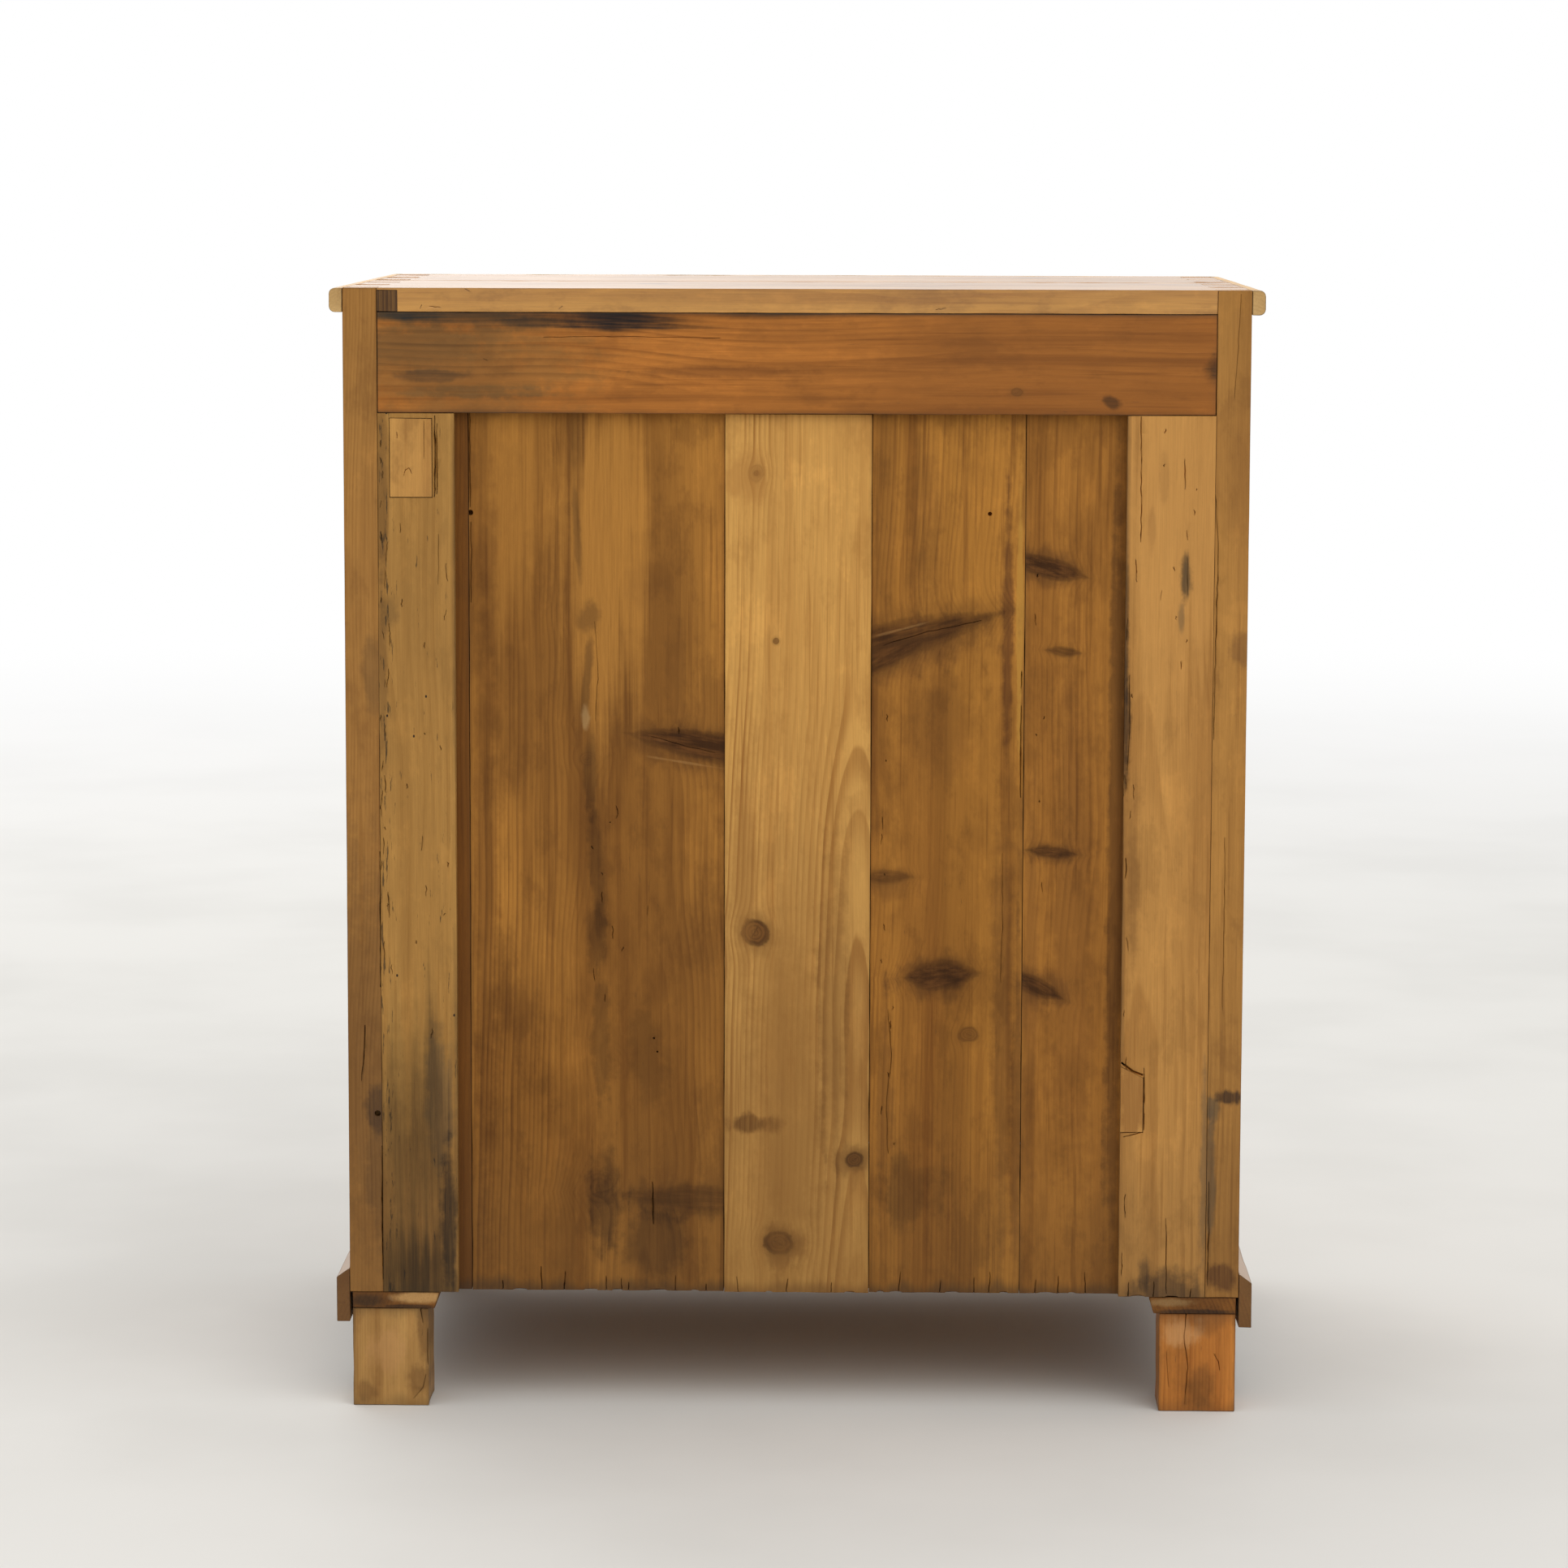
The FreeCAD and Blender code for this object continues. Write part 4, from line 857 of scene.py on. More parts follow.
def dress_back_stiles():
    cuts = worm_tracks((0.3235, 0.3312), (0.36, 0.80), 24, 31, 0.022)
    cuts += worm_tracks((0.289, 0.320), (0.30, 0.725), 9, 91, 0.012)
    cuts += worm_tracks((0.2765, 0.2860), (0.36, 0.74), 5, 71, 0.020)
    cuts += cracks(BACK_FACE, [
        (41, 1.5, 4, 6, (284.6, 798), (284.9, 742)),
        (42, 1.9, 5, 6, (286.6, 804), (286.3, 770), (286.9, 739.5)),
        (43, 0.7, 2, 6, (283.8, 710), (284.2, 670)),
    ])
    stains = [
        (165, 316, 150, 60, -8, (0.22, 0.108, 0.028), 0.9, "smoke"),
        (250, 315, 120, 30, 0, (0.28, 0.155, 0.04), 0.7, "smoke"),
        (106, 318, 56, 30, 0, (0.22, 0.12, 0.032), 1, "smoke"),
        (104, 295, 36, 30, 0, (0.25, 0.132, 0.036), 0.8, "smoke"),
        (150, 278, 70, 7, 0, (0.055, 0.034, 0.018), 0.8), (255, 285, 60, 14, 0, (0.23, 0.15, 0.07), 0.6),
        (740, 329, 70, 7, 0, (0.2, 0.1, 0.03), 0.5), (650, 323, 18, 10, 0, (0.2, 0.11, 0.035), 0.5),
        (600, 329, 90, 5, 0, (0.22, 0.11, 0.033), 0.5),
    ]
    wood("back_stile_right", UPRIGHT, STILE_RIGHT, (), stains, cuts, seed=0.23)
    cuts = cracks(BACK_FACE, [
        (5, 1.2, 5, 6, (-272.9, 805.6), (-273.2, 760), (-273.8, 706)),
        (51, 1.6, 3, 3, (-307.5, 772), (-308.2, 748)), (6, 1, 2, 6, (-310.5, 694), (-311.2, 664)),
        (8, 1, 3, 6, (-300, 160), (-300.8, 98)),
        (52, 1.1, 3, 6, (-265.5, 600), (-266.2, 560), (-265, 523)),
        (53, 1.2, 4, 6, (-281.2, 283), (-281.2, 232)), (54, 1, 4, 6, (-264, 229.5), (-280, 230)),
        (55, 4, 6, 6, (-262.8, 287.5), (-272, 280), (-280, 277)),
        (56, 1.4, 4, 6, (-279, 230), (-265, 226)),
    ]) + [chip((-0.2622, BACK_FACE, 0.512), (0.0026, 0.003, 0.009))]
    cuts += worm_tracks((-0.322, -0.290), (0.60, 0.80), 10, 61, 0.008)
    cuts += worm_tracks((-0.2700, -0.2640), (0.12, 0.70), 12, 62, 0.020)
    cuts += worn_end("back_stile_left", (-0.27, -0.29, -0.32), (-0.278, -0.305), 63, BACK_FACE)
    stains = [
        (740, -300, 160, 50, 0, (0.66, 0.33, 0.088), 0.55, "smoke"),
        (679, -309.8, 20, 5.5, 0, (0.07, 0.045, 0.02), 0.85),
        (645, -306, 14, 3, 0, (0.14, 0.09, 0.04), 0.6), (757, -292, 22, 4, 0, (0.28, 0.13, 0.032), 0.35),
        (715, -282, 18, 3, 0, (0.28, 0.12, 0.03), 0.35), (560, -264, 80, 4.5, 0, DARK, 0.9),
        (620, -263, 80, 2.5, 0, DARK, 0.6), (440, -270, 80, 9, 0, (0.2, 0.085, 0.02), 0.5),
        (100, -300, 20, 36, 0, (0.11, 0.055, 0.02), 0.85),
        (115, -283, 18, 7, 0, (0.08, 0.045, 0.02), 0.7), (200, -330, 90, 4, 0, (0.13, 0.09, 0.05), 0.6),
    ]
    wood("back_stile_left", UPRIGHT, STILE_LEFT, (), stains, cuts, seed=0.31)


def panel(name, look, *marks, slot="panel_pine", eased=0.0003, **shape):
    """Dresses one of the boards that stand in the back's frame."""
    wood("back_board_" + name, UPRIGHT, look, *marks, slot=slot, eased=eased, **shape)


def dress_wide_board():
    knots = [
        (538.5, 60, 12, 74, -9, 0.95), (169.4, 60, 12, 85, -3, 0.45), (561, 168.6, 24, 11, 0, 0),
        (646.6, 165, 11, 12, 0, 0.3), (794.8, 170.7, 10, 11, 0, 0.2), (729.6, 179.7, 5, 5, 0, 0.3),
        (529.7, 166.2, 6, 7, 0, 0.35), (380, 160, 24, 11, 0, 0), (285, 145, 20, 12, 20, 0.15),
        (179.7, 157.2, 14, 13, 0, 0.35),
    ]
    brown = (0.085, 0.036, 0.011)
    stains = [
        (700, 155, 170, 36, 0, (0.56, 0.255, 0.05), 0.7, "smoke"),
        (740, 225, 120, 30, 0, (0.52, 0.235, 0.045), 0.4, "smoke"),
        (170, 220, 200, 60, 0, (0.27, 0.108, 0.018), 0.85, "smoke"), (780, 175.5, 32, 8, 0, brown, 0.35),
        (710, 174, 55, 3.5, 3, brown, 0.5), (644, 164, 18, 13, 0, brown, 0.5),
        (595, 166.5, 50, 4.5, -5, brown, 0.55), (515, 164, 40, 6, 0, brown, 0.5),
        (440, 159, 60, 7, 4, brown, 0.5), (385, 159, 30, 10, 0, brown, 0.5),
        (300, 156, 60, 9, 0, brown, 0.5), (170, 154, 45, 20, 0, brown, 0.65),
        (135, 110, 35, 35, 0, brown, 0.55), (170, 95, 20, 45, 0, brown, 0.45),
        (290, 120, 50, 20, 15, brown, 0.35), (561, 168, 12, 4.2, 0, (0.44, 0.27, 0.11), 0.6),
        (538, 80, 22, 60, -9, (0.18, 0.07, 0.018), 0.5),
        (526.5, 85, 1.3, 34, -9, (0.42, 0.22, 0.07), 0.4),
        (450, 248, 380, 10, 0, (0.14, 0.048, 0.01), 0.45),
        (670, 120, 18, 20, 30, (0.19, 0.075, 0.018), 0.2),
        (590, 95, 60, 10, 0, (0.17, 0.065, 0.015), 0.4), (330, 90, 160, 30, 0, (0.16, 0.06, 0.014), 0.1),
    ]
    cuts = cracks(PANEL_FACE, [
        (2, 1.4, 5, 6, (114.3, 185), (113.9, 150)), (4, 0.8, 2, 6, (118.3, 410.5), (118.6, 403)),
        (24, 0.8, 2, 6, (160, 640), (157.5, 600), (160, 560)), (0, 2, 4, 0, (113.2, 302.9)),
        (0, 1.8, 4, 0, (110.5, 291.9)), (25, 1.3, 4, 6, (259.2, 806), (259.4, 765), (259, 731)),
        (0, 4.8, 7, 0, (259.2, 726.5)), (26, 1.4, 3, 6, (259, 719), (258.5, 690), (259.2, 655)),
        (27, 2.2, 2, 2, (93.5, 555.5), (93, 550)), (23, 0.9, 2, 6, (115, 548), (88, 540), (64, 535)),
    ])
    cuts += worm_tracks((0.135, 0.170), (0.33, 0.50), 9, 81, 0.012, PANEL_FACE)
    splits = (0.236, 0.204, 0.186, 0.152, 0.139, 0.134, 0.096, 0.071)
    cuts += worn_end("back_board_wide", splits, (0.222, 0.165, 0.143, 0.110, 0.080), 82)
    panel("wide", WIDE, knots, stains, cuts, seed=0.42)


def dress_centre_board():
    knots = [
        (758.8, 31.4, 7.5, 6, 0, 0.35), (758.8, 31.4, 2.2, 2.2, 0, 0.7), (625.1, 15.6, 2.4, 2.4, 0, 0.6),
        (390, 32, 10.5, 9.5, 20, 0.95), (204.9, -48.5, 6, 6.8, 0, 0.9), (136.1, 12, 9, 11, 0, 0.9),
    ]
    brown = (0.20, 0.085, 0.020)
    stains = [
        (233.6, 37, 8.5, 26, 0, brown, 0.9), (132.9, 12, 22, 20, 0, brown, 0.5),
        (204.9, -44, 14, 18, 0, brown, 0.5), (755, 40, 25, 22, 0, (0.42, 0.19, 0.045), 0.6),
        (250, 5, 160, 30, 0, (0.32, 0.14, 0.03), 0.45), (350, -30, 150, 14, 0, brown, 0.4),
        (440, 40, 100, 10, 0, (0.36, 0.16, 0.036), 0.5),
    ]
    cuts = worn_end("back_board_centre", (0.045, 0.006, -0.03), (0.02, -0.045), 83, CENTRE_FACE)
    panel("centre", CENTRE, knots, stains, cuts, slot="new_pine", seed=0.5, eased=0.0005)


def dress_knotty_board():
    knots = [
        (621, -62, 15, 100, 15, 0.9), (606, -60, 8.5, 50, 26, 0.8), (435.3, -72, 6, 24, 0, 0.5),
        (355.5, -118, 12, 30, 4, 0.9), (307.5, -140.3, 6, 8, 0, 0.5),
    ]
    tan = (0.20, 0.082, 0.020)
    stains = [
        (180, -93.4, 35, 30, 0, (0.07, 0.034, 0.012), 0.45), (643, -178.5, 127, 3, 0, SAPWOOD, 0.85),
        (352, -116, 22, 40, 0, tan, 0.6), (615, -80, 26, 85, 15, tan, 0.5),
        (640, -168, 130, 6, 0, tan, 0.5), (635, -85, 1.3, 30, 15, (0.4, 0.21, 0.07), 0.35),
        (620, -169, 150, 5, 0, (0.2, 0.07, 0.017), 0.7), (340, -168, 200, 12, 0, tan, 0.6),
        (250, -178, 150, 5, 0, tan, 0.6), (430, -72, 14, 22, 0, tan, 0.5),
        (250, -72, 100, 8, 0, tan, 0.5), (720, -70, 100, 10, 0, (0.13, 0.05, 0.013), 0.25),
        (470, -142, 380, 36, 0, (0.29, 0.12, 0.019), 0.4, "smoke"),
        (720, -100, 90, 16, 0, (0.16, 0.06, 0.014), 0.4),
        (560, -115, 50, 30, 0, (0.17, 0.065, 0.015), 0.35),
    ]
    cuts = cracks(PANEL_FACE, [
        (9, 1, 2, 6, (-75, 327), (-78.2, 290), (-74.2, 250), (-75.7, 209.8)),
        (0, 3.6, 6, 0, (-154.1, 727.1)), (28, 1.6, 5, 3, (-180, 602), (-180.1, 588)),
        (29, 1.6, 5, 6, (-180.1, 574), (-179.9, 535), (-180.2, 500)),
        (30, 0.8, 2, 6, (-166, 455), (-166.8, 400), (-165.5, 350)),
        (84, 1, 2, 6, (-70, 622), (-105, 633), (-148, 642)),
    ])
    cuts += worm_tracks((-0.0840, -0.0690), (0.20, 0.57), 12, 85, 0.010, PANEL_FACE)
    splits = (-0.085, -0.118, -0.146, -0.158)
    cuts += worn_end("back_board_knotty", splits, (-0.070, -0.083, -0.128, -0.170), 86)
    panel("knotty", KNOTTY, knots, stains, cuts, seed=0.61)


def dress_narrow_boards():
    knots = [
        (685, -199, 8.5, 32, -14, 0.95), (617.5, -213.4, 4.2, 15, -5, 0.65), (456, -205, 5, 21, -5, 0.75),
        (348, -192, 7, 26, -25, 0.85),
    ]
    brown = (0.20, 0.080, 0.019)
    stains = [
        # The first row is a painted shadow: the shade that the stile casts on the recessed board, a dark
        # band along its edge.
        (450, -257, 420, 8, 0, (0.09, 0.036, 0.011), 0.65), (345, -197, 18, 26, -20, brown, 0.6),
        (685, -202, 16, 30, -10, brown, 0.6), (456, -207, 10, 26, 0, brown, 0.5),
        (400, -222, 240, 22, 0, (0.15, 0.055, 0.013), 0.5), (330, -190, 200, 6, 0, brown, 0.45),
    ]
    cuts = worm_tracks((-0.2000, -0.1850), (0.42, 0.70), 6, 87, 0.010, PANEL_FACE)
    cuts += worn_end("back_board_narrow", (-0.195, -0.214, -0.236), (-0.204, -0.225), 88)
    panel("narrow", NARROW, knots, stains, cuts, seed=0.73)
    panel("edge_strip", STRIP, seed=0.81, eased=0.0006)


def dress_repairs():
    look = dict(
        PINE, early=(0.70, 0.37, 0.100), late=(0.42, 0.19, 0.045), pitch=0.0021, pith=(0.29, 0.2),
        contrast=0.4, scatter=0.0)
    stains = [
        (895, 320, 30, 30, 0, (0.11, 0.056, 0.023), 1), (257, -271, 50, 30, 0, (0.3, 0.13, 0.03), 0.9),
    ]
    cuts = cracks(BACK_FACE, [
        (91, 0.9, 2, 2, (311, 756), (310, 761), (307, 762.5), (305, 758)),
        (92, 1.2, 2, 2, (316.5, 791), (316, 786)), (93, 0.7, 2, 6, (295, 800), (295.5, 770)),
    ])
    shape = dict(single=False, eased=0.0005, seed=0.0)
    wood("repair_patches", UPRIGHT, look, (), stains, cuts, slot="rail_pine", **shape)


# The case

SIDE = dict(
    PINE, early=(0.41, 0.195, 0.046), late=(0.23, 0.095, 0.018), pitch=0.003, contrast=0.45,
    low_darkening=0.4, low_reach=(0.08, 0.45), wander=0.02, reach=1.9, taper=0.012, seams=0.0,
    soil=(0.09, 0.04, 0.014), crown_tone_and_painted_sheen=((0.56, 0.27, 0.062), 0.9030, 0.9044), ends=0.0)
TOP = dict(
    PINE, early=(0.58, 0.285, 0.062), late=(0.31, 0.125, 0.024), pitch=0.0034, rough=TOP_ROUGH,
    wax=TOP_WAX, wax_rough=0.24, contrast=0.5, wander=0.03, blotches=0.35, seams=0.0, ends=0.0,
    gloss=0.3, soil=(0.15, 0.07, 0.022))
MOULDING = dict(
    PINE, early=(0.84, 0.54, 0.22), late=(0.58, 0.33, 0.11), pitch=0.0026, contrast=0.4, streaks=0.3,
    rough=0.42, wax=0.12, seams=0.0, haze=0.15, blotches=0.25)
# The crown colour is lighter than the moulding: partly a painted highlight for the sheen on its waxed
# top, partly rubbed wear.
BASE_MOULDING = dict(
    MOULDING, early=(0.24, 0.108, 0.030), late=(0.12, 0.048, 0.013), haze=0.35, blotches=0.45,
    crown_tone_and_painted_sheen=((0.42, 0.24, 0.10), 0.1066, 0.1080))
BEARER = dict(PINE, early=(0.21, 0.080, 0.014), late=(0.08, 0.028, 0.006), soil=(0.03, 0.016, 0.008))
FOOT_RIGHT = dict(
    PINE, early=(0.60, 0.34, 0.105), late=(0.27, 0.125, 0.032), pith=(0.30, 0.2), pitch=0.0023,
    blotches=0.6, contrast=0.35)
FOOT_LEFT = dict(
    PINE, early=(0.70, 0.27, 0.050), late=(0.27, 0.075, 0.011), pith=(-0.36, 0.21), pitch=0.003,
    blotches=0.6, contrast=0.45)


def dress_sides():
    knots = [(520, -60, 14, 11, 0, 0.85), (300, 130, 10, 8, 0, 0.8)]
    cuts = cracks(BACK_FACE, [
        (11, 1.1, 6, 6, (345.2, 314), (346.2, 290), (348.8, 268.4)), (0, 5.2, 8, 0, (335.6, 241.7)),
        (17, 1.4, 6, 6, (332.2, 455), (332.3, 400), (332.2, 345)),
        (18, 1.3, 6, 6, (332.2, 215), (332.3, 165), (332.2, 105)),
    ])
    look = dict(SIDE, pith=(0.20, 0.20))
    stains = [
        (300, 247, 200, 20, 0, (0.12, 0.055, 0.018), 0.45),
        (248, 337, 22, 12, 0, (0.1, 0.055, 0.025), 0.8, "edge"),
        (600, 335, 45, 12, 0, (0.16, 0.08, 0.025), 0.6, "edge"),
        (190, 335, 60, 12, 0, (0.2, 0.1, 0.03), 0.5, "edge"),
    ]
    wood("side_right", "zyx", look, knots, stains, cuts, seed=0.07)
    cuts = cracks(BACK_FACE, [
        (12, 1, 6, 6, (-332, 744), (-335.1, 700), (-334.1, 646), (-333.2, 548.6)),
        (38, 0.7, 3, 6, (-350, 902), (-348.5, 860), (-346, 820)),
        (39, 1.4, 5, 6, (-334, 190), (-334.5, 150), (-333.8, 105)),
        (13, 0.8, 3, 6, (-343, 470), (-343.6, 400), (-342.8, 330)),
    ])
    knots = [(620, 40, 13, 10, 0, 0.85)]
    look = dict(SIDE, pith=(0.21, -0.19), early=(0.46, 0.22, 0.050))
    stains = [
        (259.5, -348.5, 6.5, 11, 0, (0.07, 0.035, 0.015), 1, "edge"),
        (250, -335, 11, 9, 0, (0.17, 0.11, 0.06), 0.9, "edge"),
        (190, -334.5, 60, 5, 0, (0.15, 0.1, 0.055), 0.8, "edge"),
        (620, -355, 15, 10, 0, (0.2, 0.09, 0.025), 0.7, "edge"),
        (112, -345, 12, 15, 0, (0.13, 0.05, 0.014), 0.9, "edge"),
    ]
    wood("side_left", "zyx", look, knots, stains, cuts, seed=0.77)


def dress_top():
    look = dict(TOP, pith=(0.13, 0.86))
    nicks = cracks(BACK_FACE, [
        (94, 1.4, 2, 2, (262, 904), (257.5, 902)), (95, 1.2, 2, 2, (297.5, 888.5), (296, 891.5)),
        (96, 0.9, 2, 2, (290, 890.5), (281, 889.3)), (97, 1.2, 2, 2, (188, 888.5), (185, 891)),
        (98, 1, 2, 2, (-110, 889), (-118, 890)),
    ])
    knots = [(120, 100, 12, 9, 0, 0.8)]
    wood("top_board_rear", "xyz", look, knots, (), nicks, seed=0.19)
    look = dict(TOP, pith=(-0.12, 0.95))
    wood("top_board_front", "xyz", look, [(-200, -140, 13, 10, 0, 0.8)], seed=0.57)
    mouldings("top", MOULDING, right=0.2, left=0.6, front=0.4)


def mouldings(place, look, **seeds):
    """Dresses the three mouldings of the top or of the base."""
    for side, seed in seeds.items():
        axes = LEVEL_X if side == "front" else "yzx"
        wood("%s_moulding_%s" % (place, side), axes, look, seed=seed, eased=0.0008)


def dress_base():
    mouldings("base", BASE_MOULDING, left=0.15, right=0.85, front=0.33)
    inner("bottom_board", "xyz", (0.03, 0.16), seed=0.48)
    stains = [
        (304, 90.5, 24, 5.5, 0, (0.5, 0.28, 0.1), 1, "end"),
        (345, 87, 20, 8, 0, (0.07, 0.034, 0.012), 1, "end"),
        (312, 82.5, 24, 2.2, 0, (0.06, 0.028, 0.01), 1, "end"),
        (-325, 82.5, 40, 3, 0, (0.06, 0.028, 0.01), 1, "end"),
        (-305, 90.5, 20, 4, 0, (0.3, 0.18, 0.07), 0.7, "end"),
    ]
    wood("foot_bearers", "yxz", BEARER, (), stains, single=False, slot="panel_pine", seed=0.28)
    brown = (0.17, 0.075, 0.022)
    stains = [
        (22, 304, 14, 12, 0, brown, 0.55), (12, 345, 10, 12, 0, brown, 0.5),
        (60, 300, 30, 6, 0, brown, 0.6), (45, 330, 20, 16, 0, (0.52, 0.27, 0.1), 0.5),
    ]
    cuts = cracks(FOOT_FACE, [
        (14, 1.1, 3, 6, (308.5, 6), (301, 15), (298, 26)),
        (19, 1.2, 3, 6, (300.5, 85), (302.2, 79), (300, 69)), (20, 0.8, 3, 6, (296.5, 64), (296.8, 35)),
    ])
    wood("rear_foot_right", UPRIGHT, FOOT_RIGHT, (), stains, cuts, seed=0.44, edge_wear=0.0014)
    cuts = cracks(FOOT_FACE, [
        (15, 1, 4, 6, (-317.2, 84), (-316, 62), (-319.2, 36), (-316.8, 6)),
        (16, 1.2, 3, 6, (-340, 48), (-344, 41), (-345.2, 34)), (35, 0.8, 3, 6, (-302, 50), (-304, 20)),
    ])
    stains = [
        (65, -312, 14, 18, 0, (0.62, 0.33, 0.13), 0.6), (20, -330, 20, 16, 0, brown, 0.5),
        (75, -335, 12, 20, 0, brown, 0.4),
    ]
    wood("rear_foot_left", UPRIGHT, FOOT_LEFT, (), stains, cuts, seed=0.66, edge_wear=0.0014)
    wood("front_feet", UPRIGHT, FOOT_RIGHT, single=False, seed=0.36, edge_wear=0.0012)


# The front, the drawer, the doors and the inside

INNER = dict(
    PINE, early=(0.50, 0.275, 0.10), late=(0.34, 0.165, 0.05), pitch=0.0032, rough=0.62, wax=0.0,
    blotches=0.15, seams=0.4)
FRONT = dict(
    PINE, early=(0.47, 0.225, 0.062), late=(0.30, 0.12, 0.028), rough=0.42, wax=0.18, contrast=0.6)


def inner(node, axes, pith=None, knots=(), **shape):
    """Dresses one node as the plain pine of the inside."""
    look = dict(INNER, pith=pith) if pith else INNER
    wood(node, axes, look, knots, slot="inner_pine", **shape)


def dress_front_frame():
    look = dict(FRONT, pith=(0.0, -0.17))
    for side, seed in (("left", 0.12), ("right", 0.52)):
        wood("front_stile_" + side, UPRIGHT, look, seed=seed)
    look = dict(FRONT, pith=(0.40, -0.16))
    for node, seed in (("front_top_rail", 0.3), ("drawer_rail", 0.7), ("front_bottom_rail", 0.95)):
        wood(node, LEVEL_X, look, seed=seed)


def dress_drawer():
    look = dict(FRONT, pith=(0.79, -0.15), wander=0.03, taper=0.02, contrast=0.75)
    knots = [(-60, 765, 12, 9, 10, 0.85), (235, 825, 8, 6, 0, 0.8)]
    wood("drawer_front", LEVEL_X, look, knots, seed=0.25)
    inner("drawer_back", LEVEL_X, (0.78, 0.25), seed=0.35)
    for side, seed in (("left", 0.45), ("right", 0.65)):
        inner("drawer_side_" + side, "yzx", (0.78, 0.2), seed=seed)
    inner("drawer_bottom", "xyz", (0.0, 0.68), seed=0.05)


def dress_doors():
    doors = (
        ("left", 0.18, -0.14, [(550, -200, 13, 10, 0, 0.9), (270, -110, 10, 8, 0, 0.85)]),
        ("right", 0.58, 0.16, [(330, 190, 14, 11, 0, 0.9), (600, 120, 9, 7, 0, 0.85)]),
    )
    for side, seed, pith, knots in doors:
        look = dict(FRONT, wander=0.03, taper=0.03, contrast=0.8, reach=2.4, pith=(pith, -0.16))
        wood(side + "_door_panel", UPRIGHT, look, knots, seed=seed)
        wood(side + "_door_stiles", UPRIGHT, FRONT, single=False, seed=seed + 0.1)
        wood(side + "_door_rails", LEVEL_X, FRONT, single=False, seed=seed + 0.2)


def dress_inside():
    inner("shelf", "xyz", (0.02, 0.33), [(100, -50, 12, 9, 0, 0.8)], seed=0.62)
    for node in ("shelf_cleats", "drawer_runners", "drawer_guides", "drawer_kickers"):
        inner(node, "yxz", single=False, seed=0.1)
    inner("drawer_stops", LEVEL_X, single=False, seed=0.2, cell=0)


# Knobs and ironwork

KNOB = dict(
    PINE, early=(0.40, 0.185, 0.055), late=(0.22, 0.085, 0.022), pitch=0.0021, rough=0.33, wax=0.35,
    contrast=0.7)
KNOB_STEPS = 96
KNOB_SMOOTHING = 4
IRON_EASED = 0.00025
KNOB_OUTLINE = [
    (0.0060, 0.0000), (0.0115, 0.0000), (0.0119, 0.0012), (0.0112, 0.0026), (0.0094, 0.0040),
    (0.0084, 0.0065), (0.0080, 0.0092), (0.0086, 0.0130), (0.0106, 0.0175), (0.0140, 0.0212),
    (0.0168, 0.0240), (0.0175, 0.0262), (0.0174, 0.0280), (0.0165, 0.0297), (0.0140, 0.0316),
    (0.0100, 0.0331), (0.0055, 0.0338), (0.0, 0.034),
]


def rounded(points, steps):
    """A smooth run of points through the given ones, with this many steps to the next."""
    ends = [points[0]] + points + [points[-1]]
    line = []
    for k in range(1, len(ends) - 2):
        p = [Vector(ends[k + i]) for i in (-1, 0, 1, 2)]
        for step in range(steps):
            t = step / steps
            bend = 2 * p[0] - 5 * p[1] + 4 * p[2] - p[3]
            twist = 3 * p[1] - p[0] - 3 * p[2] + p[3]
            line.append(0.5 * (2 * p[1] + (p[2] - p[0]) * t + bend * t * t + twist * t ** 3))
    return line + [Vector(points[-1])]


def turned_pair(node):
    """Two lathe-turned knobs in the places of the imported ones."""
    low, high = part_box(node)
    radius = (high[2] - low[2]) / 2
    reach = KNOB_OUTLINE[-1][1]
    turns = [2 * math.pi * i / KNOB_STEPS for i in range(KNOB_STEPS)]
    bm = bmesh.new()
    layer = bm.verts.layers.float.new("grain_seed")
    for k, x in enumerate((low[0] + radius, high[0] - radius)):
        place = Vector((x, low[1] + reach, (low[2] + high[2]) / 2))
        rings = []
        for r, out in rounded(KNOB_OUTLINE, KNOB_SMOOTHING):
            r = max(r, 0.0)
            ring = [place + Vector((r * math.cos(a), -out, r * math.sin(a))) for a in turns]
            rings.append([bm.verts.new(point) for point in ring])
            for v in rings[-1]:
                v[layer] = 0.2 + 0.4 * k
        for first, second in zip(rings[:-1], rings[1:]):
            join_rings(bm, first, second)
    bmesh.ops.remove_doubles(bm, verts=bm.verts, dist=CUT_MERGED)
    bmesh.ops.recalc_face_normals(bm, faces=bm.faces)
    piece = mesh_object(node + "_turned", bm)
    piece.data.shade_smooth()
    return piece


def dress_knobs():
    material = pine("turned_pine", "yzx", dict(KNOB, pith=(0.785, 0.155)))
    place_piece(turned_pair("drawer_knobs"), "drawer_knobs", material)


def dress_ironwork():
    iron = metal("worn_hinge_steel", (0.30, 0.27, 0.24), (0.09, 0.08, 0.072), (0.12, 0.05, 0.02), 0.48)
    steel = metal("old_screw_steel", (0.42, 0.39, 0.35), (0.20, 0.18, 0.155), (0.13, 0.055, 0.022), 0.42)
    lock = metal("old_lock_iron", (0.33, 0.30, 0.26), (0.14, 0.12, 0.10), (0.15, 0.062, 0.024), 0.45)
    brass = metal("aged_brass", (0.78, 0.58, 0.28), (0.42, 0.29, 0.12), (0.12, 0.085, 0.035), 0.34)
    frames = ("frame_hinge_", "left_door_hinge_", "right_door_hinge_")
    groups = (
        ("hinge_steel", iron, [frame + "leaves" for frame in frames] + ["hinge_pins"]),
        ("screw_steel", steel, [frame + "screws" for frame in frames]),
        ("lock_iron", lock, ["lock_case", "lock_bolt", "slide_bolt_plate", "slide_bolt_rod"]),
        ("old_brass", brass, ["escutcheon", "key"]),
    )
    for slot, material, nodes in groups:
        for node in nodes:
            piece = aged(node, eased=IRON_EASED, cell=0, dent=0.0, edge_wear=0.0)
            place_piece(piece, node, material)


# Room, light and camera

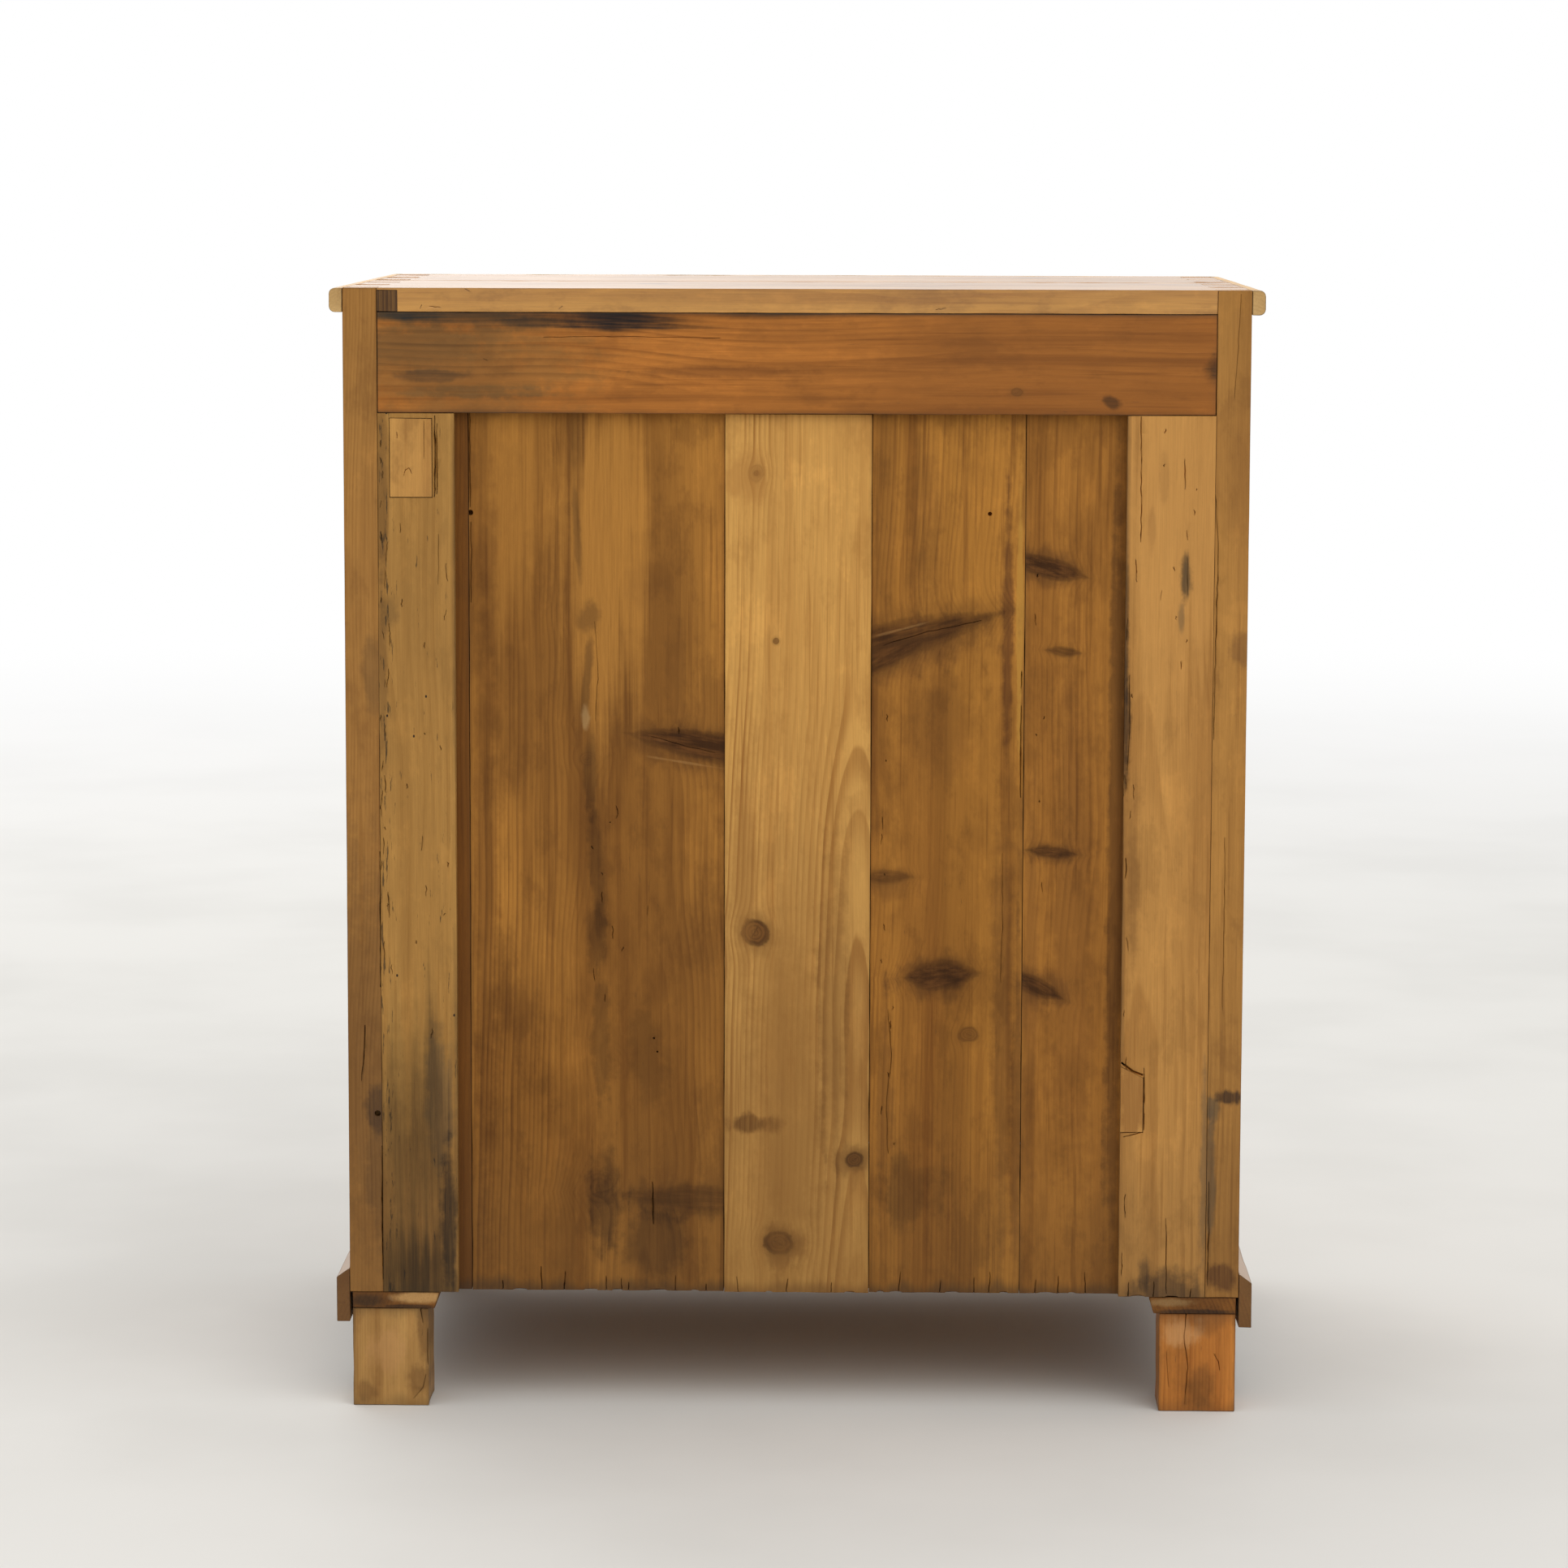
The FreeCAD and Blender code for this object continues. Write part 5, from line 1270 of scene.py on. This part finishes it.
def build_floor():
    bm = bmesh.new()
    bmesh.ops.create_grid(bm, x_segments=8, y_segments=8, size=FLOOR_SIZE / 2)
    floor = mesh_object("floor", bm)
    material, tree, shader = new_material("pale_floor")
    here = object_place(tree)
    tone = cloud(vector(tree, here["x"], here["y"], 0.0), 2.3, 4.0)
    colour = blended(FLOOR_COLOUR, FLOOR_CLOUDS, rise(tone, 0.35, 0.7))
    plug(tree, colour, shader.inputs["Base Color"])
    shader.inputs["Roughness"].default_value = 0.8
    shader.inputs["Specular IOR Level"].default_value = 0.2
    glow = added(tree, "Emission", {"Color": WHITE})
    far = worked(tree, "SQRT", here["x"] * here["x"] + here["y"] * here["y"])
    rays = added(tree, "LightPath")
    share = rise(far, *FLOOR_FADE) * Field(tree, rays.outputs["Is Camera Ray"])
    shaders = [Field(tree, node.outputs[0]) for node in (shader, glow)]
    mix = added(tree, "MixShader", enumerate([share, *shaders]))
    tree.links.new(mix.outputs[0], tree.nodes["Material Output"].inputs["Surface"])
    floor.data.materials.append(material)


def build_sky():
    world = bpy.data.worlds.new("studio")
    bpy.context.scene.world = world
    world.use_nodes = True
    tree = world.node_tree
    background = tree.nodes["Background"]
    plug(tree, WHITE, background.inputs["Color"])
    rays = added(tree, "LightPath")
    camera, glossy, through = (
        Field(tree, rays.outputs["Is %s Ray" % kind]) for kind in ("Camera", "Glossy", "Transmission"))
    seen = worked(tree, "ADD", camera + glossy, through, clamp=True)
    height = split(Field(tree, added(tree, "TexCoord").outputs["Generated"]))[2]
    level = rise(height, *SKY_RISE) * (SKY_LEVEL - SKY_LOW_LEVEL) + SKY_LOW_LEVEL
    plug(tree, seen + (1.0 - seen) * level, background.inputs["Strength"])


def build_lamp(name, place, size, power):
    lamp = bpy.data.lights.new(name, "AREA")
    lamp.shape = "SQUARE"
    lamp.size = size
    lamp.energy = power
    lamp.color = LAMP_COLOUR
    holder = bpy.data.objects.new(name, lamp)
    holder.location = place
    holder.rotation_euler = (LAMP_TARGET - Vector(place)).to_track_quat("-Z", "Y").to_euler()
    bpy.context.scene.collection.objects.link(holder)


def build_camera():
    """The photograph's view, from behind and a little above."""
    level = math.cos(CAMERA_TILT)
    ahead = Vector((
        math.sin(CAMERA_YAW) * level, -math.cos(CAMERA_YAW) * level, -math.sin(CAMERA_TILT)))
    right = ahead.cross(Vector((0.0, 0.0, 1.0))).normalized()
    up = right.cross(ahead)
    c, s = math.cos(CAMERA_ROLL), math.sin(CAMERA_ROLL)
    right, up = c * right + s * up, c * up - s * right
    data = bpy.data.cameras.new("camera")
    data.sensor_width = SENSOR
    data.sensor_fit = "HORIZONTAL"
    data.lens = CAMERA_FOCUS_PIXELS / PHOTO_PIXELS * SENSOR
    data.shift_y = CAMERA_SHIFT
    data.clip_end = 100.0
    camera = bpy.data.objects.new("camera", data)
    turn = Matrix((right, up, -ahead)).transposed().to_4x4()
    camera.matrix_world = Matrix.Translation(CAMERA_PLACE) @ turn
    bpy.context.scene.collection.objects.link(camera)
    bpy.context.scene.camera = camera


dress_back_rail()
dress_back_stiles()
dress_wide_board()
dress_centre_board()
dress_knotty_board()
dress_narrow_boards()
dress_repairs()
dress_sides()
dress_top()
dress_base()
dress_front_frame()
dress_drawer()
dress_doors()
dress_inside()
dress_knobs()
dress_ironwork()

build_floor()
build_sky()
build_lamp("back_lamp", **BACK_LAMP)
build_lamp("front_lamp", **FRONT_LAMP)
build_camera()
bpy.context.scene.view_settings.view_transform = "Standard"
